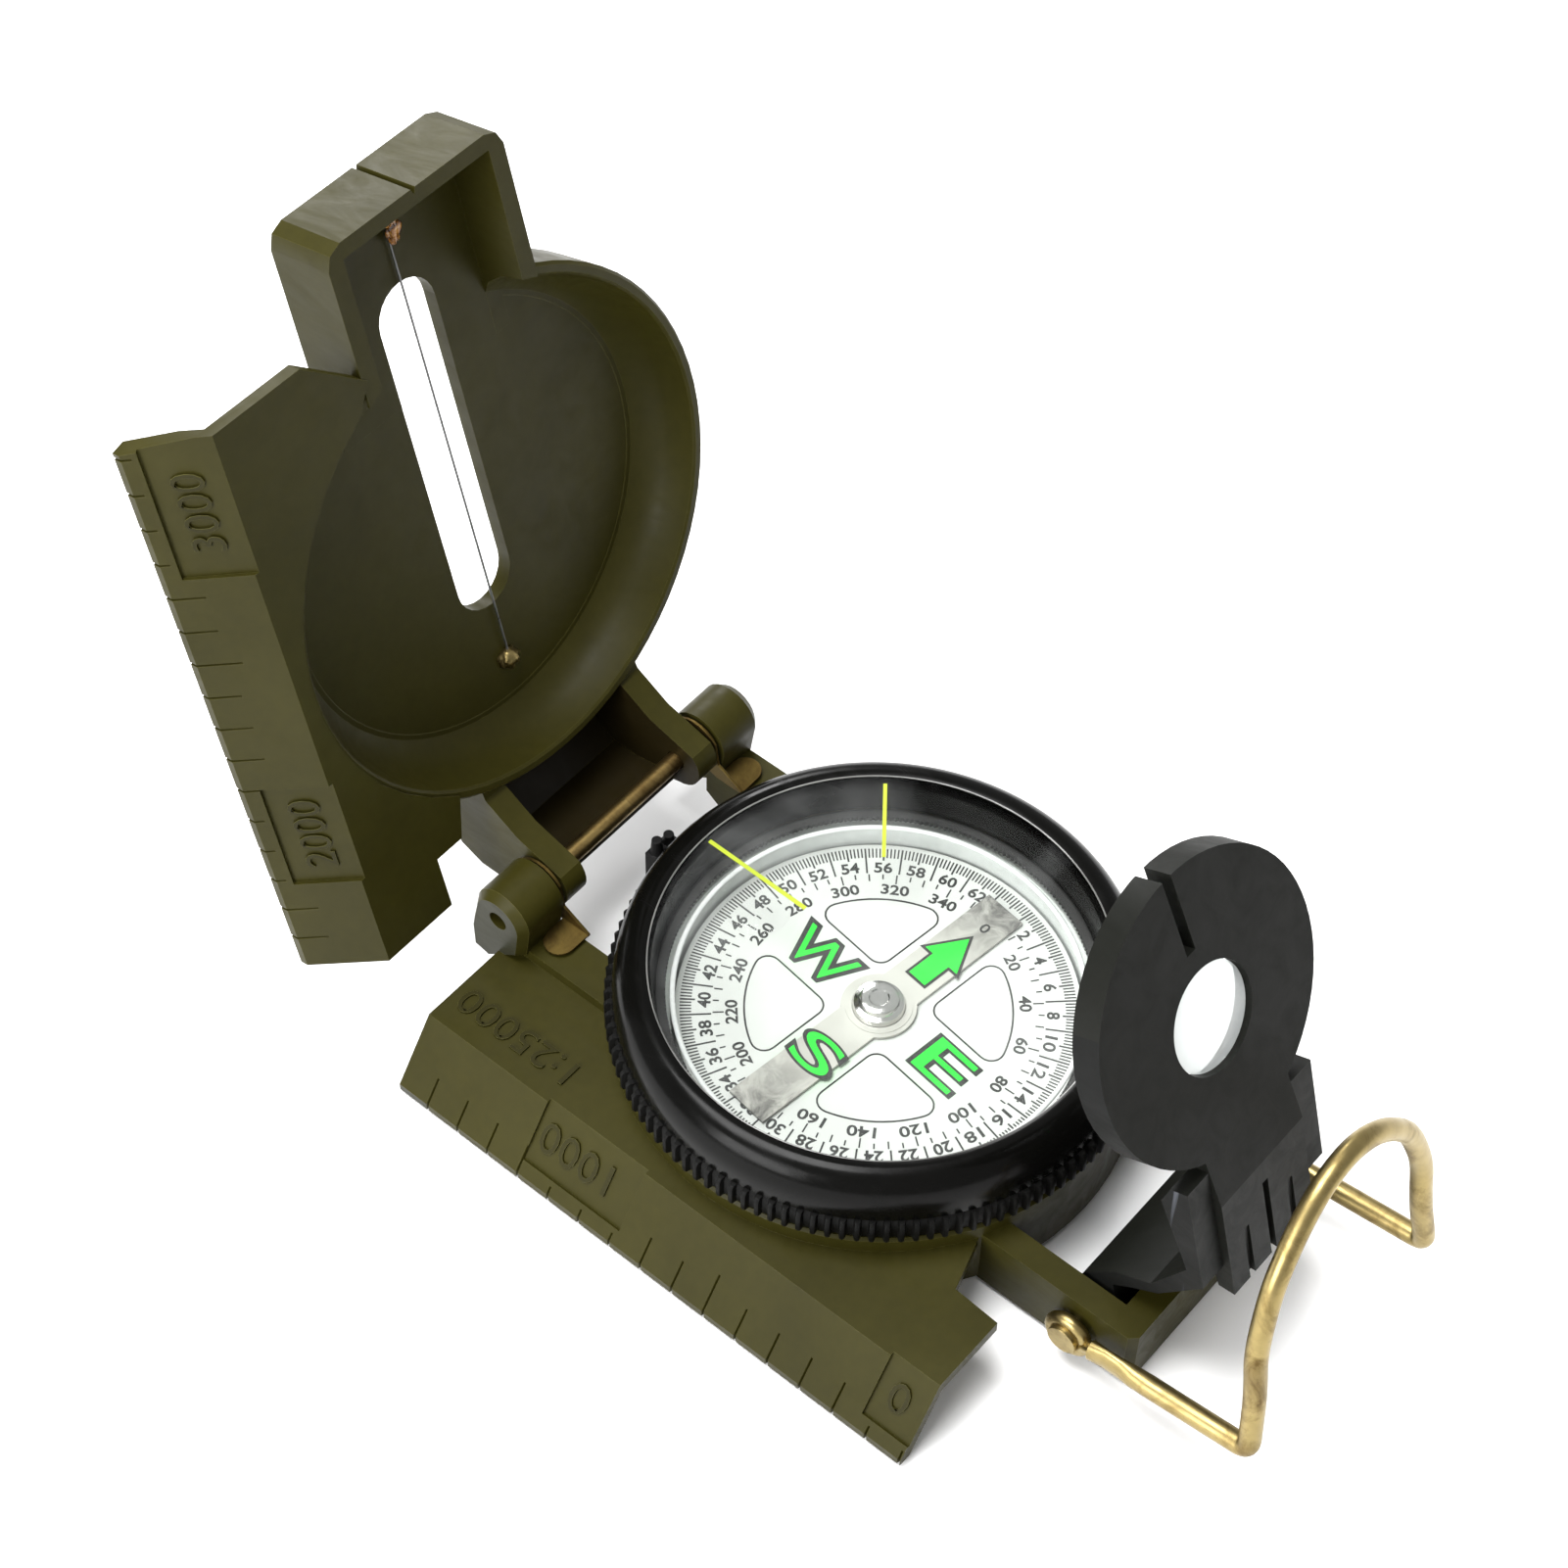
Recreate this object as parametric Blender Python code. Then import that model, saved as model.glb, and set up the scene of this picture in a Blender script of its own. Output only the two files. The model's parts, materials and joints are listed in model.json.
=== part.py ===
"""Sighting compass with a folding cover, a magnifying rear sight and a wire thumb loop.

Frame: +Y is the sighting direction (eyepiece to cover), +X is to the right, +Z is up. The origin is on the
dial's axis, in the plane of the base's flat underside. Lengths are in millimetres here and are turned into
metres by MM when meshes are made. The cover is drawn lying flat open and the rear sight is drawn folded
down over the glass; each is then turned about its own hinge by an empty.
"""

import math

import bmesh
import bpy
from mathutils import Matrix

MM = 0.001
COLLECTION = "sighting_compass"
ROUND = 72  # sides of the large turned pieces
SMALL_ROUND = 20  # sides of pins, bosses and holes
GAP = 0.3  # clearance between pieces that only sit next to each other
RUN = 0.1  # running clearance between a pin and its hole

# Base cup and its collar
CUP_R = 26.4
CUP_TOP = 10.0
CUP_FLOOR = 1.6
NECK_R = 24.1
NECK_TOP = 13.3
WALL = 1.7

# Map ruler along the left side: one notch is 100 m at 1:25000
NOTCH_PITCH = 4.0
RULER_ZERO_Y = -25.67
BASE_NOTCHES = (-1, 15)
COVER_NOTCHES = (15, 31)
RULER_EDGE_X = -33.2
CREASE_X = -28.3
DECK_Z = 8.0
DECK_T = 1.4
EDGE_T = 0.9
EDGE_Z = 0.2
NOTCH_DEPTH = 0.45
NOTCH_W = 0.5
PANEL_DEPTH = 0.4
BASE_FRONT_Y = 34.15
BASE_REAR_Y = -29.9
DECK_REAR_X = -19.2
REAR_NOTCH = (-18.9, -24.7)
REAR_NECK = (-12.4, -22.7)

# Cover hinge
HINGE_Y = 33.94
HINGE_Z = 13.2
COVER_OPEN_DEG = 76.5  # angle of the cover above its flat-open position
PIN_R = 1.0
EAR_R = 3.4
EAR_IN = 12.3
EAR_OUT = 18.2
EAR_FRONT_Y = 38.1
EAR_CHAMFER = 0.9
SHOULDER_OUT = 17.0
SHOULDER_Z = 9.4
SHOULDER_BOTTOM = 2.4
COVER_ARM_W = 2.8
COVER_ARM_OUT = EAR_IN - 3 * GAP  # room for the shim and a gap on each side of it
COVER_ARM_IN = COVER_ARM_OUT - COVER_ARM_W
SHIM_T = 0.3
SHIM_R = 3.1
SHIM_TAB_W = 3.4
SHIM_TAB_END = 16.0
SHIM_TAB_Y = 29.3

# Rear frame and the pivot that the rear sight and the thumb loop share
FRAME_OUT = 12.8
FRAME_IN = 10.0
FRAME_BOTTOM = 0.5
FRAME_TOP = 8.3
FRAME_REAR = -41.0
FRAME_INNER_REAR = -38.0
PIVOT_Y = -34.5
PIVOT_Z = 4.4
PIVOT_R = 1.1

# Bezel
KNURL_R = 27.0
KNURL_TEETH = 96
KNURL_DEPTH = 0.5
BEZEL_BOTTOM = 10.3
KNURL_TOP = 13.5
BEZEL_TOP = 18.3
BEZEL_INNER_R = NECK_R - WALL - 0.5
LIP_R = BEZEL_INNER_R + 0.8
GLASS_R = LIP_R + 0.4
GLASS_T = 0.8
GLASS_Z = 17.1

# Capsule and dial
CAPSULE_R = NECK_R - WALL - GAP
CAPSULE_WALL = 0.8
CAPSULE_BOTTOM = 1.9
CAPSULE_TOP = 11.8
LID_T = 0.6
RING_IN = CAPSULE_R - 1.6
BLISTER_R = 3.4
BLISTER_Y = RING_IN - BLISTER_R - 1.5
BLISTER_H = 0.7
RING_T = 0.5
DIAL_R = CAPSULE_R - 2.0
DIAL_Z = 9.8
DIAL_T = 0.3
NORTH_DEG = 352.4  # direction of the dial's north mark, anticlockwise from +X
BAR_HALF_L = DIAL_R - 2.5
BAR_W = 4.8
BAR_T = 0.35
BOSS_R = 3.8
HUB_R = 2.6
HUB_CAP_R = 1.9
HUB_H = 1.3
POST_R = 0.5
HUB_BORE_R = 0.8

# Cover, in its own frame: x across, d away from the hinge axis, h towards the inner side
BACK_H = -12.9
FLOOR_T = 1.6
RIM_H = -5.4
RIM_R = 27.3
RIM_WALL = 1.3
DISH_FLOOR_R = 22.3
COVER_DECK_H = -5.2
COVER_EDGE_H = -12.9
COVER_LOW_D = 0.55
COVER_HIGH_D = 64.7
BOX_HALF_W = 11.2
BOX_INNER_HALF_W = 9.3
BOX_END_D = 74.3
BOX_END_T = 1.7
SLOT_HALF_W = 3.6
SLOT_FROM_D = 23.0
SLOT_TO_D = 62.0
SIGHT_NOTCH = 0.7
FLANGE_TOP_D = 66.0
FLANGE_TOP_X = -17.2
FLANGE_NOTCH_X = -19.3
FLANGE_NOTCH_D = 6.9
TACK_D = 15.9
BEAD_D = 68.2
WIRE_R = 0.12
TACK_R = 0.75

# Rear sight, in its own frame: y along the sight from the pivot, z square to its face
SIGHT_OPEN_DEG = 64.4
SIGHT_C = 35.22
SIGHT_R = 14.7
SIGHT_FACE = 18.02
SIGHT_T = 3.0
LENS_R = 5.2
LENS_OFF = -1.25
SIGHT_SLOT_W = 1.2
SIGHT_SLOT_END = 6.3
SIGHT_BLOCK_HALF_W = 9.5
TAB_HALF_W = 6.3
SIGHT_BOSS_R = 2.7
GRIP_GROOVES = 3
GRIP_PITCH = 3.4

# Thumb loop
LOOP_WIRE_R = 1.1
LOOP_HALF_W = 14.4
LOOP_EYE_R = 2.6
LOOP_EYE_T = 1.0
LOOP_ROOT = (-3.0, 0.7)
LOOP_CORNER = (-55.2, 7.5)
LOOP_LEAN = 0.15
LOOP_ARCH = (
    (13.9, 11.0), (13.5, 14.0), (13.3, 17.3), (13.2, 20.5), (12.75, 23.0), (12.0, 25.4), (11.2, 27.5),
    (10.1, 29.6), (8.3, 31.9), (6.4, 33.8), (4.3, 35.3), (2.2, 36.2), (0.0, 36.5),
)

# Colours: base colour, roughness, metallic
OLIVE = ((0.088, 0.082, 0.022), 0.42, 0.0)
BLACK = ((0.012, 0.012, 0.012), 0.5, 0.0)
GLOSS_BLACK = ((0.008, 0.008, 0.009), 0.16, 0.0)
BRASS = ((0.62, 0.44, 0.14), 0.3, 1.0)
STEEL = ((0.6, 0.6, 0.62), 0.25, 1.0)
WHITE = ((0.78, 0.79, 0.77), 0.45, 0.0)
BAR_GREY = ((0.62, 0.6, 0.56), 0.4, 0.3)
CLEAR = ((0.9, 0.93, 0.92), 0.03, 0.0)


# ---------------------------------------------------------------- scene and materials

def clear_scene():
    for obj in list(bpy.data.objects):
        bpy.data.objects.remove(obj, do_unlink=True)


def make_collection(name):
    collection = bpy.data.collections.new(name)
    bpy.context.scene.collection.children.link(collection)
    return collection


def material(obj, look, alpha=1.0):
    colour, roughness, metallic = look
    mat = bpy.data.materials.new(obj.name + "_material")
    mat.use_nodes = True
    shader = mat.node_tree.nodes["Principled BSDF"]
    shader.inputs["Base Color"].default_value = (*colour, 1.0)
    shader.inputs["Roughness"].default_value = roughness
    shader.inputs["Metallic"].default_value = metallic
    shader.inputs["Alpha"].default_value = alpha
    obj.data.materials.clear()
    obj.data.materials.append(mat)


# ---------------------------------------------------------------- solids

def link(obj, collection):
    collection.objects.link(obj)
    return obj


def mesh_object(name, bm, collection=None):
    bmesh.ops.recalc_face_normals(bm, faces=bm.faces)
    data = bpy.data.meshes.new(name)
    bm.to_mesh(data)
    bm.free()
    return link(bpy.data.objects.new(name, data), collection or PARTS)


def loft(name, rings):
    """A solid between two outlines that have the same number of points."""
    bm = bmesh.new()
    lower, upper = ([bm.verts.new([value * MM for value in point]) for point in ring] for ring in rings)
    bm.faces.new(lower)
    bm.faces.new(upper)
    for index in range(len(lower)):
        after = (index + 1) % len(lower)
        bm.faces.new((lower[index], lower[after], upper[after], upper[index]))
    return mesh_object(name, bm)


def placed(axis, flat, height):
    """A point from its place on an axis and its other two coordinates, in X, Y, Z order."""
    point = list(flat)
    point.insert("XYZ".index(axis), height)
    return point


def prism(name, outline, axis, low, high):
    """A flat outline made thick along an axis. X takes (y, z) points, Y takes (x, z) and Z takes (x, y)."""
    return loft(name, [[placed(axis, flat, height) for flat in outline] for height in (low, high)])


def box(name, low, high):
    """A block between two corners."""
    corners = [(low[0], low[1]), (high[0], low[1]), (high[0], high[1]), (low[0], high[1])]
    return prism(name, corners, "Z", low[2], high[2])


def circle(centre, radius, sides):
    return arc(centre, radius, 0, 360, sides)[:-1]


def rod(name, axis, centre, radius, low, high, sides=SMALL_ROUND, top_radius=None):
    """A cylinder or cone along an axis; centre gives the other two coordinates, in X, Y, Z order."""
    radii = (radius, radius if top_radius is None else top_radius)
    rings = []
    for size, height in zip(radii, (low, high)):
        rings.append([placed(axis, flat, height) for flat in circle(centre, size, sides)])
    return loft(name, rings)


def mirrored(sign, low, high):
    """A span of x on the right side, or its mirror image on the left."""
    return (low, high) if sign > 0 else (-high, -low)


def turned(name, profile, sides=ROUND, centre=(0.0, 0.0)):
    """A closed (radius, z) profile, outer side first from top to bottom, spun about a vertical axis."""
    bm = bmesh.new()
    verts = [bm.verts.new((radius * MM, 0.0, z * MM)) for radius, z in profile]
    pairs = zip(verts, verts[1:] + verts[:1])
    edges = [bm.edges.new(pair) for pair in pairs if pair[0].co.x > 0.0 or pair[1].co.x > 0.0]
    bmesh.ops.spin(
        bm, geom=verts + edges, cent=(0, 0, 0), axis=(0, 0, 1), angle=math.tau, steps=sides,
        use_duplicate=False
    )
    bmesh.ops.remove_doubles(bm, verts=bm.verts, dist=1e-6)
    bmesh.ops.translate(bm, vec=(centre[0] * MM, centre[1] * MM, 0.0), verts=bm.verts)
    return mesh_object(name, bm)


def tube(name, points, radius, resolution=2):
    """A round wire along points, made a mesh with welded caps."""
    curve = bpy.data.curves.new(name + "_path", "CURVE")
    curve.dimensions = "3D"
    curve.bevel_depth = radius * MM
    curve.bevel_resolution = resolution
    curve.use_fill_caps = True
    spline = curve.splines.new("POLY")
    spline.points.add(len(points) - 1)
    for point, place in zip(spline.points, points):
        point.co = (place[0] * MM, place[1] * MM, place[2] * MM, 1.0)
    guide = link(bpy.data.objects.new(name + "_path", curve), PARTS)
    bpy.context.view_layer.update()
    data = bpy.data.meshes.new_from_object(guide.evaluated_get(bpy.context.evaluated_depsgraph_get()))
    bpy.data.objects.remove(guide, do_unlink=True)
    bm = bmesh.new()
    bm.from_mesh(data)
    bpy.data.meshes.remove(data)
    bmesh.ops.remove_doubles(bm, verts=bm.verts, dist=1e-6)
    return mesh_object(name, bm)


def combine(target, others, operation):
    """Joins helpers to a piece, or cuts them from it, with exact Booleans."""
    for other in others:
        PARTS.objects.unlink(other)
        CUTTERS.objects.link(other)
        other.hide_render = True
        other.display_type = "WIRE"
        modifier = target.modifiers.new(other.name, "BOOLEAN")
        modifier.operation = operation
        modifier.object = other
        modifier.solver = "EXACT"


def join(target, *others):
    combine(target, others, "UNION")


def cut(target, *others):
    combine(target, others, "DIFFERENCE")


def smooth(obj, degrees=35):
    obj.data.shade_smooth()
    obj.data.set_sharp_from_angle(angle=math.radians(degrees))


def arc(centre, radius, start, end, steps):
    """Points round a centre from one angle to another, in degrees."""
    points = []
    for step in range(steps + 1):
        angle = math.radians(start + (end - start) * step / steps)
        points.append((centre[0] + radius * math.cos(angle), centre[1] + radius * math.sin(angle)))
    return points


def hang_on(empty, objects):
    """Parents pieces and their helpers to a hinge empty, in the empty's own frame."""
    for obj in objects:
        obj.parent = empty


def hinge_empty(name, y, z, degrees):
    empty = bpy.data.objects.new(name, None)
    PARTS.objects.link(empty)
    empty.location = (0.0, y * MM, z * MM)
    empty.rotation_euler = (math.radians(degrees), 0.0, 0.0)
    return empty


def notch_places(first, last):
    return [RULER_ZERO_Y + NOTCH_PITCH * count for count in range(first, last + 1)]


# ---------------------------------------------------------------- base

def ruler_section(deck_z, edge_z, inner_x):
    """Section of the ruler: a flat deck that bends down at the crease to a thin notched edge."""
    return [
        (inner_x, deck_z),
        (CREASE_X, deck_z),
        (RULER_EDGE_X, edge_z + EDGE_T),
        (RULER_EDGE_X, edge_z),
        (RULER_EDGE_X + DECK_T, edge_z),
        (CREASE_X + DECK_T * 0.6, deck_z - DECK_T),
        (inner_x, deck_z - DECK_T),
    ]


def ruler_plate(name, section, outline, low_y, high_y):
    """The ruler's bent section, trimmed to an outline seen from above."""
    plate = prism(name, section, "Y", low_y, high_y)
    heights = [z for x, z in section]
    trim = prism(name + "_plan", outline, "Z", min(heights) - 2.0, max(heights) + 2.0)
    combine(plate, [trim], "INTERSECT")
    return plate, trim


def ruler_notches(name, places, low, high):
    """Small V notches along the ruler's outer edge."""
    cutters = []
    for index, place in enumerate(places):
        outline = [
            (RULER_EDGE_X - 1.0, place - NOTCH_W),
            (RULER_EDGE_X + NOTCH_DEPTH, place),
            (RULER_EDGE_X - 1.0, place + NOTCH_W),
        ]
        cutters.append(prism("%s_notch_%02d" % (name, index), outline, "Z", low, high))
    return cutters


def base_body():
    first, last = BASE_NOTCHES
    base = turned(
        "base_body",
        [(NECK_R, NECK_TOP), (NECK_R, CUP_TOP), (CUP_R - 0.3, CUP_TOP), (CUP_R, CUP_TOP - 0.3),
         (CUP_R, 0.8), (CUP_R - 0.8, 0.0), (0.0, 0.0), (0.0, CUP_FLOOR),
         (NECK_R - WALL, CUP_FLOOR), (NECK_R - WALL, NECK_TOP)],
    )
    joint_r = (NECK_R - WALL + CUP_R) / 2
    outline = [(RULER_EDGE_X - 1.0, BASE_REAR_Y), (DECK_REAR_X, BASE_REAR_Y), REAR_NOTCH, REAR_NECK]
    outline += arc((0.0, 0.0), joint_r, 241, 122, 14)
    outline += [(-EAR_IN - 0.5, 22.0), (-EAR_IN - 0.5, BASE_FRONT_Y), (RULER_EDGE_X - 1.0, BASE_FRONT_Y)]
    section = ruler_section(DECK_Z, EDGE_Z, REAR_NECK[0] + 1.0)
    ruler, trim = ruler_plate("ruler_flange", section, outline, BASE_REAR_Y - 1.0, BASE_FRONT_Y + 1.0)
    right = [(x, -math.sqrt(joint_r**2 - x**2)) for x in (FRAME_OUT, FRAME_IN)]
    left = [(-x, y) for x, y in reversed(right)]
    frame_plan = [(-FRAME_OUT + 0.8, FRAME_REAR), (FRAME_OUT - 0.8, FRAME_REAR)]
    frame_plan += [(FRAME_OUT, FRAME_REAR + 0.8)]
    frame_plan += right + [(FRAME_IN, FRAME_INNER_REAR), (-FRAME_IN, FRAME_INNER_REAR)]
    frame_plan += left + [(-FRAME_OUT, FRAME_REAR + 0.8)]
    parts = [ruler, prism("rear_frame", frame_plan, "Z", FRAME_BOTTOM, FRAME_TOP)]
    for side, sign in (("left", -1), ("right", 1)):
        parts.append(base_shoulder(side, sign))
        parts.append(base_ear(side, sign))
    parts.append(box("click_seat", (-2.4, 24.0, 2.0), (2.4, 29.6, 6.2)))
    join(base, *parts)
    cuts = [rod("pin_hole", "X", (HINGE_Y, HINGE_Z), PIN_R + RUN, -EAR_OUT - 1, EAR_OUT + 1)]
    cuts.append(rod("pivot_hole", "X", (PIVOT_Y, PIVOT_Z), PIVOT_R + RUN, -FRAME_OUT - 1, FRAME_OUT + 1))
    cuts += ruler_notches("base", notch_places(first, last), -1.0, 3.0)
    cuts += recess_panels("base", ((first - 0.3, 0.3), (8, 11)), DECK_Z, EDGE_Z)
    cut(base, *cuts)
    smooth(base)
    material(base, OLIVE)
    return base


def point_on(radius, degrees):
    return (radius * math.cos(math.radians(degrees)), radius * math.sin(math.radians(degrees)))


def base_shoulder(side, sign):
    """Beam from the cup to a hinge ear, with a raised top for the friction shim's tab."""
    low_x, high_x = mirrored(sign, EAR_IN, SHOULDER_OUT)
    root_y = math.sqrt((NECK_R - WALL + 0.4) ** 2 - EAR_IN**2)
    return prism(
        "shoulder_" + side,
        [(root_y, SHOULDER_Z), (HINGE_Y - 1.0, SHOULDER_Z), (HINGE_Y - 1.0, SHOULDER_BOTTOM + 3.0),
         (HINGE_Y - 5.0, SHOULDER_BOTTOM), (root_y, SHOULDER_BOTTOM)],
        "X", low_x, high_x,
    )


def base_ear(side, sign):
    """Hinge barrel with a straight lower part that stands in front of the deck, its outer face chamfered."""
    body_x = mirrored(sign, EAR_IN, EAR_OUT - EAR_CHAMFER)
    outline = arc((HINGE_Y, HINGE_Z), EAR_R, 0, 180, 12)
    outline += [(HINGE_Y - EAR_R + 0.6, 9.0), (HINGE_Y + 2.0, 5.1)]
    outline += [(EAR_FRONT_Y, 5.6), (EAR_FRONT_Y + 0.1, 9.2)]
    middle = (HINGE_Y + 0.6, HINGE_Z - 2.0)
    small = [(middle[0] + (y - middle[0]) * 0.8, middle[1] + (z - middle[1]) * 0.85) for y, z in outline]
    ear = prism("ear_" + side, outline, "X", *body_x)
    face = [[placed("X", flat, sign * (EAR_OUT - EAR_CHAMFER - 0.02)) for flat in outline]]
    face.append([placed("X", flat, sign * EAR_OUT) for flat in small])
    cap = loft("ear_face_" + side, face)
    combine(ear, [cap], "UNION")
    return ear


def recess_panels(name, spans, deck_z, edge_z, origin=0.0):
    """Shallow flats sunk into the ruler's bevel, where its numbers stand."""
    cutters = []
    slope = math.atan2(deck_z - edge_z - EDGE_T, CREASE_X - RULER_EDGE_X)
    run = (CREASE_X - RULER_EDGE_X, deck_z - edge_z - EDGE_T)
    length = math.hypot(*run)
    direction = (run[0] / length, run[1] / length)
    normal = (-math.sin(slope), math.cos(slope))
    for index, (start, end) in enumerate(spans):
        low = RULER_ZERO_Y + NOTCH_PITCH * start - origin - 0.6
        high = RULER_ZERO_Y + NOTCH_PITCH * end - origin
        near = (RULER_EDGE_X + direction[0] * 1.6, edge_z + EDGE_T + direction[1] * 1.6)
        far = (near[0] + direction[0] * length, near[1] + direction[1] * length)
        deep = (normal[0] * PANEL_DEPTH, normal[1] * PANEL_DEPTH)
        sunk = [(point[0] - deep[0], point[1] - deep[1]) for point in (near, far)]
        proud = [(point[0] + normal[0] * 3.0, point[1] + normal[1] * 3.0) for point in (far, near)]
        cutters.append(prism("%s_panel_%d" % (name, index), sunk + proud, "Y", low, high))
    return cutters


# ---------------------------------------------------------------- hinge pin, shims, click spring

def hinge_pieces():
    pin = rod("hinge_pin", "X", (HINGE_Y, HINGE_Z), PIN_R, -EAR_OUT + 1.2, EAR_OUT - 1.2)
    smooth(pin)
    material(pin, BRASS)
    for side, sign in (("left", -1), ("right", 1)):
        near = (EAR_IN + COVER_ARM_OUT) / 2 - SHIM_T / 2
        far = near + SHIM_T
        tab_z = SHOULDER_Z + GAP
        low_y = SHIM_TAB_Y - SHIM_TAB_W / 2
        high_y = SHIM_TAB_Y + SHIM_TAB_W / 2
        outline = arc((HINGE_Y, HINGE_Z), SHIM_R, -110, 150, 16)
        outline += [(HINGE_Y - SHIM_R, tab_z + 2.2), (low_y, tab_z + SHIM_T), (low_y, tab_z), (high_y, tab_z)]
        shim = prism("friction_shim_" + side, outline, "X", *mirrored(sign, near, far))
        round_x = SHIM_TAB_END - SHIM_TAB_W / 2
        plan = [(near + 0.02, low_y + 0.02)] + arc((round_x, SHIM_TAB_Y), SHIM_TAB_W / 2 - 0.02, -90, 90, 10)
        plan.append((near + 0.02, high_y - 0.02))
        plan = [(sign * x, y) for x, y in plan]
        tab = prism("shim_tab_" + side, plan, "Z", tab_z + 0.02, tab_z + SHIM_T - 0.02)
        join(shim, tab)
        span = mirrored(sign, near - 1, far + 1)
        hole = rod("shim_hole_" + side, "X", (HINGE_Y, HINGE_Z), PIN_R + RUN, *span)
        cut(shim, hole)
        smooth(shim)
        material(shim, BRASS)


def click_spring():
    body = box("click_spring", (-1.8, KNURL_R + GAP, 6.2 + GAP), (1.8, KNURL_R + GAP + 1.7, 12.2))
    prong_y = KNURL_R + GAP + 0.85
    prong = rod("click_prong_a", "Z", (-0.9, prong_y), 0.8, 11.0, 14.2, sides=12, top_radius=0.55)
    other = rod("click_prong_b", "Z", (0.9, prong_y), 0.8, 11.0, 13.4, sides=12, top_radius=0.55)
    join(body, prong, other)
    material(body, BLACK)


# ---------------------------------------------------------------- bezel, capsule and dial

def bezel():
    collar = NECK_R + GAP
    ring = turned(
        "bezel_ring",
        [(LIP_R, BEZEL_TOP - 0.2), (LIP_R + 0.5, BEZEL_TOP), (LIP_R + 1.4, BEZEL_TOP - 0.3),
         (LIP_R + 2.3, BEZEL_TOP - 1.3), (LIP_R + 3.0, BEZEL_TOP - 2.7), (LIP_R + 3.4, BEZEL_TOP - 4.0),
         (LIP_R + 3.5, KNURL_TOP), (LIP_R + 3.5, BEZEL_BOTTOM), (collar, BEZEL_BOTTOM),
         (collar, NECK_TOP + GAP), (BEZEL_INNER_R, NECK_TOP + 2 * GAP),
         (BEZEL_INNER_R + 0.5, GLASS_Z - GAP), (GLASS_R + GAP, GLASS_Z - GAP),
         (GLASS_R + GAP, GLASS_Z + GLASS_T + 0.1), (LIP_R, GLASS_Z + GLASS_T + 0.1)],
    )
    outline = []
    for tooth in range(KNURL_TEETH):
        for share, radius in ((0.0, KNURL_R), (0.5, KNURL_R - KNURL_DEPTH)):
            outline.append(point_on(radius, 360 * (tooth + share) / KNURL_TEETH))
    knurl = prism("bezel_knurl", outline, "Z", BEZEL_BOTTOM + 0.2, KNURL_TOP - 0.1)
    bore = rod("knurl_bore", "Z", (0.0, 0.0), collar + 0.8, BEZEL_BOTTOM - 1.0, KNURL_TOP + 1.0, sides=ROUND)
    cut(knurl, bore)
    join(ring, knurl)
    smooth(ring)
    material(ring, GLOSS_BLACK)
    glass = rod("bezel_glass", "Z", (0.0, 0.0), GLASS_R, GLASS_Z, GLASS_Z + GLASS_T, sides=ROUND)
    smooth(glass)
    material(glass, CLEAR, 0.25)


def capsule():
    inside = CAPSULE_R - CAPSULE_WALL
    floor = CAPSULE_BOTTOM + 1.0
    cup = turned(
        "capsule_cup",
        [(CAPSULE_R, CAPSULE_TOP), (CAPSULE_R, CAPSULE_BOTTOM), (0.0, CAPSULE_BOTTOM), (0.0, floor),
         (inside - 0.8, floor), (inside, floor + 0.8), (inside, CAPSULE_TOP)],
    )
    smooth(cup)
    material(cup, WHITE)
    lid_z = CAPSULE_TOP + GAP
    lid = rod("capsule_lid", "Z", (0.0, 0.0), CAPSULE_R, lid_z, lid_z + LID_T, sides=ROUND)
    blister = rod(
        "lid_blister", "Z", (0.0, BLISTER_Y), BLISTER_R, lid_z + LID_T / 2, lid_z + LID_T + BLISTER_H,
        sides=24, top_radius=BLISTER_R * 0.6,
    )
    join(lid, blister)
    smooth(lid)
    material(lid, CLEAR, 0.25)
    ring_z = lid_z + LID_T + GAP
    outer = NECK_R - WALL - GAP
    clamp = turned(
        "capsule_ring",
        [(outer, ring_z + RING_T), (outer, ring_z), (RING_IN, ring_z), (RING_IN, ring_z + RING_T)],
    )
    smooth(clamp)
    material(clamp, BLACK)


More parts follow.
